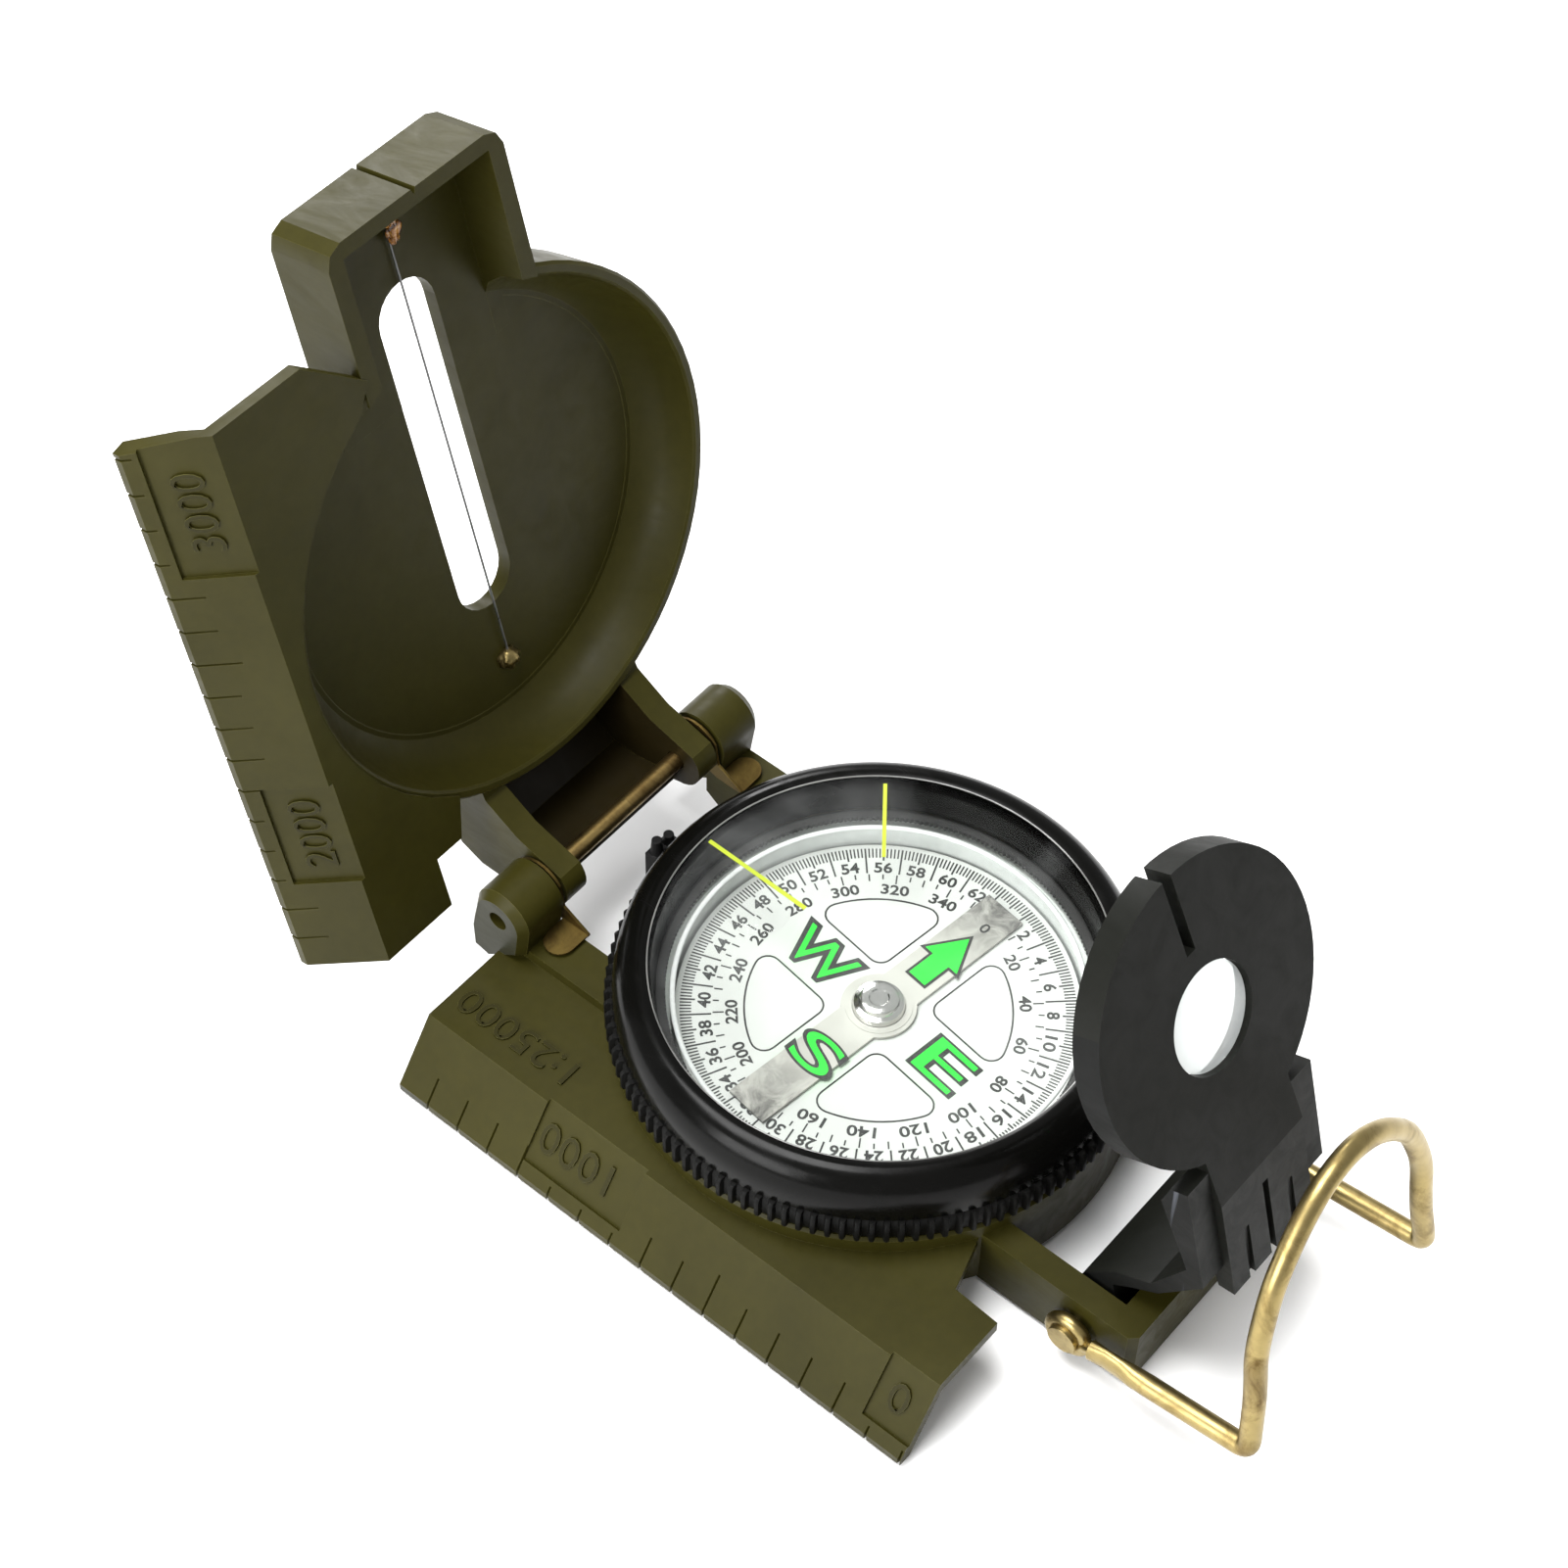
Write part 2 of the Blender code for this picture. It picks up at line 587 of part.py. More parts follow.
def dial():
    bar_z = DIAL_Z + DIAL_T + RUN
    card = turned(
        "dial_card",
        [(DIAL_R, DIAL_Z + DIAL_T), (DIAL_R, DIAL_Z),
         (HUB_BORE_R + 0.4, DIAL_Z), (HUB_BORE_R + 0.4, DIAL_Z + DIAL_T)],
    )
    smooth(card)
    material(card, WHITE)
    bar = box("magnet_bar", (-BAR_HALF_L, -BAR_W / 2, bar_z), (BAR_HALF_L, BAR_W / 2, bar_z + BAR_T))
    boss = rod("bar_boss", "Z", (0.0, 0.0), BOSS_R, bar_z, bar_z + BAR_T, sides=32)
    hole = rod("bar_hole", "Z", (0.0, 0.0), HUB_BORE_R + 0.4, bar_z - 1.0, bar_z + 1.0)
    join(bar, boss)
    cut(bar, hole)
    material(bar, BAR_GREY)
    hub_z = bar_z + BAR_T + RUN
    cap_bottom = hub_z + HUB_H * 0.35
    hub = turned(
        "hub_cap",
        [(0.0, hub_z + HUB_H), (HUB_CAP_R, hub_z + HUB_H), (HUB_CAP_R, cap_bottom),
         (HUB_R, cap_bottom), (HUB_R, hub_z),
         (HUB_BORE_R, hub_z), (HUB_BORE_R, hub_z + HUB_H * 0.7), (0.0, hub_z + HUB_H * 0.7)],
        sides=32,
    )
    smooth(hub)
    material(hub, STEEL)
    spin = bpy.data.objects.new("dial_axis", None)
    PARTS.objects.link(spin)
    spin.rotation_euler = (0.0, 0.0, math.radians(NORTH_DEG))
    hang_on(spin, (card, bar, boss, hole, hub))
    foot = CAPSULE_BOTTOM + 1.0 + GAP
    tip = hub_z + HUB_H * 0.7 - GAP
    post = turned(
        "pivot_post",
        [(0.0, tip), (POST_R * 0.5, tip - 0.6), (POST_R, tip - 1.2), (POST_R, foot + 0.8), (2.0, foot + 0.8),
         (2.0, foot), (0.0, foot)],
        sides=20,
    )
    smooth(post)
    material(post, STEEL)


# ---------------------------------------------------------------- cover

def cover_dish_profile():
    inner = RIM_R - RIM_WALL
    floor = BACK_H + FLOOR_T
    return [
        (inner + 0.3, RIM_H), (RIM_R - 0.3, RIM_H), (RIM_R, RIM_H - 0.3), (RIM_R - 0.3, BACK_H + 2.0),
        (RIM_R - 1.0, BACK_H + 0.7), (RIM_R - 2.2, BACK_H), (0.0, BACK_H), (0.0, floor),
        (DISH_FLOOR_R, floor),
        (DISH_FLOOR_R + 1.8, floor + 1.0), (inner - 0.6, (RIM_H + floor) / 2), (inner, RIM_H - 0.3),
    ]


def dish_bore_profile():
    """The hollow of the dish, which trims the box walls and hinge arms flush with its inner side."""
    inner = RIM_R - RIM_WALL + 0.06
    floor = BACK_H + FLOOR_T
    return [
        (inner, RIM_H + 5.0), (inner, RIM_H - 0.3), (inner - 0.55, (RIM_H + floor) / 2),
        (DISH_FLOOR_R + 1.95, floor + 0.9), (DISH_FLOOR_R + 0.6, floor + 0.04), (0.0, floor + 0.04),
        (0.0, RIM_H + 5.0),
    ]


def apron_curve(offset):
    """Back face of the plate between the hinge arms, curled up behind the pin, at an offset inside it."""
    curve = [(12.0, BACK_H + offset), (2.2 - offset * 0.2, BACK_H + offset)]
    curve += [(-0.9 + offset * 0.7, -12.0 + offset * 0.9)]
    curve += [(-2.7 + offset * 0.9, -9.6 + offset * 0.4), (-3.5 + offset, -6.0), (-3.6 + offset, -1.4)]
    return curve


def cover():
    floor = BACK_H + FLOOR_T
    places = [place - HINGE_Y for place in notch_places(*COVER_NOTCHES)]
    body = turned("cover_body", cover_dish_profile(), centre=(0.0, HINGE_Y))
    inner_r = RIM_R - RIM_WALL / 2
    outline = [(RULER_EDGE_X - 1.0, COVER_LOW_D), (FLANGE_NOTCH_X, COVER_LOW_D)]
    outline += [(FLANGE_NOTCH_X, FLANGE_NOTCH_D), (-15.8, FLANGE_NOTCH_D)]
    outline += dish_points(inner_r, 237, 118)
    outline += [(-BOX_HALF_W + 0.6, 60.2), (FLANGE_TOP_X, FLANGE_TOP_D), (-28.8, FLANGE_TOP_D)]
    outline += [(RULER_EDGE_X - 1.0, COVER_HIGH_D)]
    section = ruler_section(COVER_DECK_H, COVER_EDGE_H, -BOX_HALF_W + 0.8)
    flange, trim = ruler_plate("cover_flange", section, outline, COVER_LOW_D - 1.0, FLANGE_TOP_D + 1.0)
    end = BOX_END_D
    half = BOX_HALF_W
    wedge = [(-half, 50.0), (half, 50.0), (half, end - 2.0), (half - 0.6, end - 0.6), (half - 2.0, end)]
    wedge += [(-x, d) for x, d in reversed(wedge[2:])]
    window = prism("window_box", wedge, "Z", BACK_H + 0.03, RIM_H + 0.1)
    arms = [cover_arm(side, sign) for side, sign in (("left", -1), ("right", 1))]
    apron_section = apron_curve(0.0) + apron_curve(1.3)[::-1]
    apron = prism("cover_apron", apron_section, "X", -COVER_ARM_IN - 0.8, COVER_ARM_IN + 0.8)
    join(body, flange, window, apron, *arms)
    inner_half = BOX_INNER_HALF_W
    well = box("box_well", (-inner_half, 50.0, floor + 0.03), (inner_half, end - BOX_END_T, RIM_H + 5.0))
    bore = turned("dish_bore", dish_bore_profile(), centre=(0.0, HINGE_Y))
    slot = prism(
        "sight_slot",
        arc((0.0, SLOT_FROM_D + SLOT_HALF_W), SLOT_HALF_W, 180, 360, 12)
        + arc((0.0, SLOT_TO_D - SLOT_HALF_W), SLOT_HALF_W, 0, 180, 12),
        "Z", BACK_H - 2.0, floor + 2.0,
    )
    notch = prism(
        "sight_notch", [(-SIGHT_NOTCH, end + 1.0), (0.0, end - SIGHT_NOTCH), (SIGHT_NOTCH, end + 1.0)],
        "Z", BACK_H - 1.0, RIM_H + 1.0,
    )
    pin_hole = rod("cover_pin_hole", "X", (0.0, 0.0), PIN_R + RUN, -COVER_ARM_OUT - 2, COVER_ARM_OUT + 2)
    tack_hole = rod("tack_hole", "Z", (0.0, TACK_D), TACK_R + RUN, floor - 0.9, floor + 2.0, sides=12)
    cuts = [well, bore, slot, notch, pin_hole, tack_hole]
    cuts += ruler_notches("cover", places, BACK_H - 1.0, BACK_H + 3.0)
    cuts += recess_panels("cover", ((18, 21), (27.7, 32)), COVER_DECK_H, COVER_EDGE_H, origin=HINGE_Y)
    cut(body, *cuts)
    smooth(body)
    material(body, OLIVE)
    pieces = [body, flange, trim, window, apron] + arms + cuts
    pieces += sighting_wire(floor)
    return pieces


def dish_points(radius, start, end):
    return [(x, d + HINGE_Y) for x, d in arc((0.0, 0.0), radius, start, end, 14)]


def cover_arm(side, sign):
    """Hinge arm: a barrel round the pin and a tapering web that runs up into the dish."""
    outline = arc((0.0, 0.0), EAR_R - 0.2, 60, 185, 10) + apron_curve(0.0)[::-1][1:-1]
    outline += [(13.0, BACK_H), (13.0, RIM_H - 1.2), (8.0, RIM_H - 0.4), (4.6, -2.4)]
    return prism("cover_arm_" + side, outline, "X", *mirrored(sign, COVER_ARM_IN, COVER_ARM_OUT))


def sighting_wire(floor):
    """Taut hair-thin wire down the middle of the slot, with its two anchors."""
    wire_h = floor + 0.4
    wire = rod("sighting_wire", "Y", (0.0, wire_h), WIRE_R, TACK_D + TACK_R + GAP, BEAD_D - GAP, sides=8)
    material(wire, STEEL)
    tack = rod("wire_tack", "Z", (0.0, TACK_D), TACK_R, floor - 0.6, floor + 0.9, sides=12)
    smooth(tack)
    material(tack, BRASS)
    bead_end = BOX_END_D - BOX_END_T - GAP
    bead = rod("wire_anchor", "Y", (0.0, floor + 1.3), 0.8, BEAD_D, bead_end, sides=12, top_radius=1.1)
    smooth(bead)
    material(bead, BRASS)
    return [wire, tack, bead]


# ---------------------------------------------------------------- rear sight

def rear_sight():
    top = SIGHT_FACE
    under = SIGHT_FACE - SIGHT_T
    neck_y = SIGHT_C - SIGHT_R
    sight = rod("lens_bracket", "Z", (0.0, SIGHT_C), SIGHT_R, under, top, sides=64)
    boss = arc((0.0, 0.0), SIGHT_BOSS_R, 80, 330, 12)
    arm = boss + [(3.84, -0.15), (5.7, 4.2), (6.0, 8.7), (10.1, top - 3.7), (neck_y - 1.6, top - 3.7)]
    arm += [(neck_y + 0.4, top - 2.0), (neck_y + 0.3, top - 0.06), (8.2, top - 2.4)]
    arm += [(4.9, 9.2), (4.3, 6.0), (3.6, 3.3)]
    block = prism("sight_block", arm, "X", -SIGHT_BLOCK_HALF_W, SIGHT_BLOCK_HALF_W)
    tab_outline = [(4.4, top - 2.3), (neck_y - 4.0, top + 0.04), (neck_y + 4.0, top - 0.04)]
    tab_outline += [(neck_y + 4.0, under + 0.1), (10.4, under + 0.1), (8.0, under - 0.8), (5.0, under - 1.0)]
    tab = prism("sight_tab", tab_outline, "X", -TAB_HALF_W, TAB_HALF_W)
    join(sight, block, tab)
    lens_y = SIGHT_C + LENS_OFF
    cuts = [rod("lens_hole", "Z", (0.0, lens_y), LENS_R, under - 1.0, top + 1.0, sides=40)]
    half = SIGHT_SLOT_W / 2
    slot_y = SIGHT_C + SIGHT_SLOT_END
    cuts.append(box("sight_groove", (-half, slot_y, under - 1.0), (half, SIGHT_C + SIGHT_R + 2.0, top + 1.0)))
    outer = SIGHT_BLOCK_HALF_W + 1
    cuts.append(rod("sight_bore", "X", (0.0, 0.0), PIVOT_R + RUN, -outer, outer))
    for index in range(GRIP_GROOVES):
        middle = (index - (GRIP_GROOVES - 1) / 2) * GRIP_PITCH
        length = 14.0 if index == 1 else 11.0
        groove = [(3.0, top + 2.0), (3.0, top - 3.2), (length, top - 1.2), (length, top + 2.0)]
        cuts.append(prism("grip_groove_%d" % index, groove, "X", middle - 0.4, middle + 0.4))
    cut(sight, *cuts)
    smooth(sight)
    material(sight, BLACK)
    edge = LENS_R - GAP
    lens = turned(
        "sight_lens",
        [(0.0, under + 2.4), (1.9, under + 2.25), (3.6, under + 1.9), (edge, under + 1.3),
         (edge, under + 0.9), (3.6, under + 0.6), (1.9, under + 0.4), (0.0, under + 0.3)],
        sides=40, centre=(0.0, lens_y),
    )
    smooth(lens)
    material(lens, CLEAR, 0.25)
    return [sight, block, tab, lens] + cuts


def pivot_pin():
    outer = FRAME_OUT + GAP + LOOP_EYE_T + GAP
    pin = rod("pivot_pin", "X", (PIVOT_Y, PIVOT_Z), PIVOT_R, -outer - 0.5, outer + 0.5)
    heads = []
    for side, sign in (("left", -1), ("right", 1)):
        span = mirrored(sign, outer, outer + 0.7)
        heads.append(rod("pin_head_" + side, "X", (PIVOT_Y, PIVOT_Z), PIVOT_R + 0.5, *span))
    join(pin, *heads)
    smooth(pin)
    material(pin, BRASS)


# ---------------------------------------------------------------- thumb loop

def loop_path():
    """Right half of the loop's centre line, from the flattened root to the top of the arch."""
    corner_y, corner_z = LOOP_CORNER
    points = [(LOOP_HALF_W, PIVOT_Y + LOOP_ROOT[0], PIVOT_Z + LOOP_ROOT[1])]
    points.append((LOOP_HALF_W, corner_y + 0.9, corner_z - 0.2))
    points.append((LOOP_HALF_W, corner_y + 0.1, corner_z + 0.5))
    for x, z in LOOP_ARCH:
        points.append((x, corner_y + LOOP_LEAN * (z - corner_z), z))
    return points


def thumb_loop():
    right = loop_path()
    left = [(-x, y, z) for x, y, z in reversed(right[:-1])]
    loop = tube("thumb_loop", right + left, LOOP_WIRE_R)
    inner = FRAME_OUT + GAP
    joined = []
    holes = []
    for side, sign in (("left", -1), ("right", 1)):
        span = mirrored(sign, inner, inner + LOOP_EYE_T)
        joined.append(rod("loop_eye_" + side, "X", (PIVOT_Y, PIVOT_Z), LOOP_EYE_R, *span))
        joined.append(
            prism(
                "loop_strap_" + side,
                [(PIVOT_Y - 2.0, PIVOT_Z - 1.4), (PIVOT_Y - 2.0, PIVOT_Z + 1.5),
                 (PIVOT_Y - 4.2, PIVOT_Z + 2.1), (PIVOT_Y - 7.2, PIVOT_Z + 1.6),
                 (PIVOT_Y - 7.0, PIVOT_Z + 0.3), (PIVOT_Y - 4.2, PIVOT_Z - 0.9)],
                "X", *mirrored(sign, inner + 0.05, inner + LOOP_EYE_T + 0.6),
            )
        )
        span = mirrored(sign, inner - 1, inner + 3)
        holes.append(rod("loop_hole_" + side, "X", (PIVOT_Y, PIVOT_Z), PIVOT_R + RUN, *span))
    join(loop, *joined)
    cut(loop, *holes)
    smooth(loop)
    material(loop, BRASS)


# ---------------------------------------------------------------- assembly

clear_scene()
PARTS = make_collection(COLLECTION)
CUTTERS = make_collection("cutters")

base_body()
hinge_pieces()
click_spring()
bezel()
capsule()
dial()
hang_on(hinge_empty("cover_hinge", HINGE_Y, HINGE_Z, COVER_OPEN_DEG), cover())
hang_on(hinge_empty("sight_hinge", PIVOT_Y, PIVOT_Z, SIGHT_OPEN_DEG), rear_sight())
pivot_pin()
thumb_loop()
bpy.context.view_layer.update()
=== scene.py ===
"""Looks of a folding sighting compass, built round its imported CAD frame.

Lengths are in millimetres in this script and become metres through MM. +Y is the sighting direction,
+X is to the right and +Z is up, with the origin on the dial's axis in the plane of the base's
underside. Three local frames are used: the cover's (x, distance from the hinge, height above its
inner side), the dial's (east, north, up) and the rear sight's (x, distance from the pivot, height
above its folded face).
"""

import json
import math

import bmesh
import bpy
from mathutils import Matrix, Vector, noise


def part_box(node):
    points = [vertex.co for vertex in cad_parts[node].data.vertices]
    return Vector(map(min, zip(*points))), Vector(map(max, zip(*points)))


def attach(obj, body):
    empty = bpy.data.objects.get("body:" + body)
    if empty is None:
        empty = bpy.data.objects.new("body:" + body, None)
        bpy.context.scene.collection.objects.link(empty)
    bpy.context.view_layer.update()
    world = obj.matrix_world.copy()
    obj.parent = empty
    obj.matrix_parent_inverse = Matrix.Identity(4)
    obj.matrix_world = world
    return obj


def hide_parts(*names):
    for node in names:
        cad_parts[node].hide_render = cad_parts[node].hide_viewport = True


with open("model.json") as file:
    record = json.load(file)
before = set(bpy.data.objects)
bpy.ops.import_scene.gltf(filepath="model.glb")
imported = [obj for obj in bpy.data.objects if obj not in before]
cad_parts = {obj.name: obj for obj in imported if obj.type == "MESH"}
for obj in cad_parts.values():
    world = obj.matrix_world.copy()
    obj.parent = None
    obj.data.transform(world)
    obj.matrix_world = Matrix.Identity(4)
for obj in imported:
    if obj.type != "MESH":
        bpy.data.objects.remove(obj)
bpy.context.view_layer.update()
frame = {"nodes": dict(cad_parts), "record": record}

MM = 0.001
JOINTS = {joint["name"]: joint for joint in frame["record"]["behaviour"]["joints"]}

# Base, hinge and ruler
HINGE = [value / MM for value in JOINTS["cover_hinge"]["pos_m"]]
PIVOT = [value / MM for value in JOINTS["rear_sight_hinge"]["pos_m"]]
COVER_OPEN = -JOINTS["cover_hinge"]["range_deg"][0]
NOTCH_PITCH = 4.0
RULER_ZERO_Y = -25.67
RULER_EDGE_X = -33.2
CREASE_X = -28.3
DECK_Z = 8.0
EDGE_TOP_Z = 1.1
COVER_DECK_H = -5.2
COVER_EDGE_H = -12.0
PANEL_DEPTH = 0.4
TICK_LENGTH = 3.2
LONG_TICK = 4.4
PANEL_TICK = 1.0

# Dial
NORTH_DEG = 352.4
CARD_R = 20.1
CARD_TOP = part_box("dial_card")[1][2] / MM
BAR_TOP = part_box("magnet_bar")[1][2] / MM
HUB_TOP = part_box("hub_cap")[1][2] / MM
PRINT_T = 0.02
MILS = 64
MINOR_PER_HUNDRED = 5
TICK_OUTER_R = 19.6
MILS_TEXT_R = 17.2
DEGREE_TEXT_R = 14.5

# Bezel and capsule
KNURL_TEETH = 120
KNURL_R = 27.0
GLASS_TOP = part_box("bezel_glass")[1][2] / MM
LIP_R = 22.7
BEZEL_TOP = 18.3
SHOULDER_H = 4.8
SHOULDER_W = 3.0
KNURL_BORE_R = 25.2
KNURL_LOW = 10.5
KNURL_HIGH = 13.3
RING_TEETH = 260
RING_OUTER_R = 22.1
MAGNIFIER_Z = 12.7
MAGNIFIER_Y = 15.6
MAGNIFIER_R = 3.3

# Camera
CAMERA_AT = (-161.37, -116.79, 300.40)
CAMERA_RIGHT = (0.64178, -0.76671, 0.01621)
CAMERA_UP = (0.59816, 0.51370, 0.61509)
LENS_MM = 81.92


# ---------------------------------------------------------------- node materials

class Look:
    """A Principled material with a few shorthands for its texture nodes."""

    def __init__(self, name, colour, roughness, metallic=0.0, **inputs):
        self.material = bpy.data.materials.new(name)
        self.material.use_nodes = True
        self.tree = self.material.node_tree
        self.shader = self.tree.nodes["Principled BSDF"]
        self.shader.inputs["Base Color"].default_value = (*colour, 1.0)
        self.shader.inputs["Roughness"].default_value = roughness
        self.shader.inputs["Metallic"].default_value = metallic
        for key, value in inputs.items():
            self.shader.inputs[key.replace("_", " ")].default_value = value
        self.coords = self.node("ShaderNodeTexCoord").outputs["Object"]

    def node(self, kind, **settings):
        made = self.tree.nodes.new(kind)
        for key, value in settings.items():
            setattr(made, key, value)
        return made

    def link(self, start, end):
        self.tree.links.new(start, end)
        return self

    def noise(self, scale, detail=4.0, roughness=0.55, distortion=0.0, stretch=None):
        made = self.node("ShaderNodeTexNoise")
        made.inputs["Scale"].default_value = scale
        made.inputs["Detail"].default_value = detail
        made.inputs["Roughness"].default_value = roughness
        made.inputs["Distortion"].default_value = distortion
        source = self.coords
        if stretch:
            mapping = self.node("ShaderNodeMapping")
            mapping.inputs["Scale"].default_value = stretch
            self.link(source, mapping.inputs["Vector"])
            source = mapping.outputs["Vector"]
        self.link(source, made.inputs["Vector"])
        return made.outputs["Fac"]

    def ramp(self, source, stops):
        made = self.node("ShaderNodeValToRGB")
        elements = made.color_ramp.elements
        while len(elements) < len(stops):
            elements.new(0.5)
        for element, (place, colour) in zip(elements, stops):
            element.position = place
            element.color = (*colour, 1.0) if len(colour) == 3 else colour
        self.link(source, made.inputs["Fac"])
        return made.outputs["Color"]

    def grey(self, source, stops):
        return self.ramp(source, [(place, (value, value, value)) for place, value in stops])

    def mix(self, factor, first, second, blend="MIX"):
        made = self.node("ShaderNodeMix", data_type="RGBA", blend_type=blend)
        for value, socket in ((factor, 0), (first, 6), (second, 7)):
            if isinstance(value, (int, float)):
                made.inputs[socket].default_value = value
            elif isinstance(value, tuple):
                made.inputs[socket].default_value = (*value, 1.0)
            else:
                self.link(value, made.inputs[socket])
        return made.outputs[2]

    def colour(self, source):
        return self.link(source, self.shader.inputs["Base Color"])

    def rough(self, source):
        return self.link(source, self.shader.inputs["Roughness"])

    def bump(self, source, strength, distance_mm):
        made = self.node("ShaderNodeBump")
        made.inputs["Strength"].default_value = strength
        made.inputs["Distance"].default_value = distance_mm * MM
        self.link(source, made.inputs["Height"])
        previous = self.shader.inputs["Normal"].links
        if previous:
            self.link(previous[0].from_socket, made.inputs["Normal"])
        return self.link(made.outputs["Normal"], self.shader.inputs["Normal"])


def plastic(name, dark, light, roughness, grain=0.06, specular=0.4):
    """Moulded plastic: slow colour drift, a fine satin grain and faint rub marks."""
    look = Look(name, light, roughness, Specular_IOR_Level=specular)
    drift = look.noise(55.0, 5.0, 0.6, 0.6)
    specks = look.noise(900.0, 3.0, 0.6)
    body = look.ramp(drift, [(0.3, dark), (0.72, light)])
    look.colour(look.mix(0.12, body, look.grey(specks, [(0.35, 0.35), (0.65, 1.0)]), "MULTIPLY"))
    rubs = look.noise(260.0, 6.0, 0.7, 1.5, stretch=(1.0, 0.25, 1.0))
    look.rough(look.grey(rubs, [(0.3, roughness - 0.08), (0.7, roughness + 0.1)]))
    look.bump(look.noise(2600.0, 2.0, 0.5), grain, 0.05)
    look.bump(look.noise(120.0, 3.0, 0.5), 0.05, 0.3)
    return look


def brass(name, bright, stain, roughness, stretch=None, amount=0.55):
    """Satin brass with drawn lines and darker stains."""
    look = Look(name, bright, roughness, metallic=1.0)
    clouds = look.noise(170.0, 8.0, 0.68, 0.8)
    lines = look.noise(900.0, 4.0, 0.6, 0.0, stretch or (1.0, 0.08, 1.0))
    base = look.ramp(clouds, [(amount - 0.2, stain), (amount + 0.02, bright)])
    look.colour(look.mix(0.25, base, look.grey(lines, [(0.35, 0.45), (0.65, 1.0)]), "MULTIPLY"))
    look.rough(look.grey(clouds, [(0.3, roughness + 0.22), (0.62, roughness)]))
    look.bump(lines, 0.12, 0.05)
    return look


def clear(name, tint, see_through=0.94, wobble=0.0, index=1.2, milky=0.0):
    """Clear plastic: see-through, glossier towards a grazing view, and the same from both sides."""
    look = Look(name, tint, 0.02)
    tree = look.tree
    glossy = look.node("ShaderNodeBsdfGlossy")
    glossy.inputs["Roughness"].default_value = 0.015
    window = look.node("ShaderNodeBsdfTransparent")
    window.inputs["Color"].default_value = (*tint, 1.0)
    haze = look.node("ShaderNodeBsdfDiffuse")
    haze.inputs["Color"].default_value = (0.9, 0.92, 0.92, 1.0)
    facing = look.node("ShaderNodeLayerWeight")
    facing.inputs["Blend"].default_value = 0.5
    steep = look.node("ShaderNodeMath", operation="POWER")
    steep.inputs[1].default_value = 5.0
    look.link(facing.outputs["Facing"], steep.inputs[0])
    straight_on = ((index - 1.0) / (index + 1.0)) ** 2
    gloss = look.node("ShaderNodeMath", operation="MULTIPLY_ADD")
    gloss.inputs[1].default_value = 0.55
    gloss.inputs[2].default_value = straight_on
    look.link(steep.outputs[0], gloss.inputs[0])
    smear = look.grey(look.noise(60.0, 6.0, 0.62, 1.2), [(0.45, milky), (0.8, 1.0 - see_through)])
    first = look.node("ShaderNodeMixShader")
    second = look.node("ShaderNodeMixShader")
    look.link(smear, first.inputs[0])
    look.link(window.outputs[0], first.inputs[1])
    look.link(haze.outputs[0], first.inputs[2])
    look.link(gloss.outputs[0], second.inputs[0])
    look.link(first.outputs[0], second.inputs[1])
    look.link(glossy.outputs[0], second.inputs[2])
    look.link(second.outputs[0], tree.nodes["Material Output"].inputs["Surface"])
    if wobble:
        bump = look.node("ShaderNodeBump")
        bump.inputs["Strength"].default_value = wobble
        bump.inputs["Distance"].default_value = 0.1 * MM
        look.link(look.noise(90.0, 2.0), bump.inputs["Height"])
        look.link(bump.outputs["Normal"], glossy.inputs["Normal"])
    return look


def scratches(look, direction, low, high, strength):
    """Fine straight scratches that lighten the surface and roughen it."""
    marks = look.noise(700.0, 3.0, 0.5, 0.0, stretch=direction)
    mask = look.grey(marks, [(low, 0.0), (high, 1.0)])
    source = look.shader.inputs["Base Color"].links[0].from_socket
    look.colour(look.mix(look.grey(marks, [(low, 0.0), (high, strength)]), source, (0.16, 0.17, 0.2)))
    look.bump(mask, 0.2, 0.05)
    return look


OLIVE = plastic("olive_plastic", (0.024, 0.0213, 0.0032), (0.033, 0.0292, 0.0046), 0.42, specular=0.1)
# Lighter olive for the rounded edge faces: a painted highlight where the edges catch the light.
OLIVE_EDGE_HIGHLIGHT = plastic("olive_edge_highlight", (0.07, 0.064, 0.013), (0.11, 0.102, 0.024), 0.4, specular=0.22)
# Dark brown for the hinge apron of the cover: painted shade under the hinge.
APRON_SHADE = plastic("apron_shade", (0.011, 0.0075, 0.002), (0.017, 0.0125, 0.0035), 0.4, specular=0.14)
# Light grey for a thin ring on the bezel's inner lip: a painted highlight along the lip.
LIP_HIGHLIGHT = plastic("bezel_lip_highlight", (0.05, 0.05, 0.048), (0.22, 0.22, 0.21), 0.2, specular=0.5)
OLIVE_FACE = plastic("olive_ear_face", (0.022, 0.022, 0.013), (0.033, 0.033, 0.021), 0.42, specular=0.12)
FIGURE = plastic("figure_plastic", (0.017, 0.015, 0.0025), (0.023, 0.0205, 0.0035), 0.42, specular=0.1)
BEZEL = plastic("bezel_gloss", (0.0018, 0.0018, 0.0016), (0.0026, 0.0026, 0.0022), 0.2, 0.02, specular=0.1)
KNURL = plastic("bezel_knurl", (0.002, 0.002, 0.0018), (0.0035, 0.0035, 0.003), 0.5, specular=0.1)
CHARCOAL = plastic("sight_plastic", (0.0068, 0.0073, 0.0058), (0.0082, 0.0085, 0.0069), 0.48, specular=0.09)
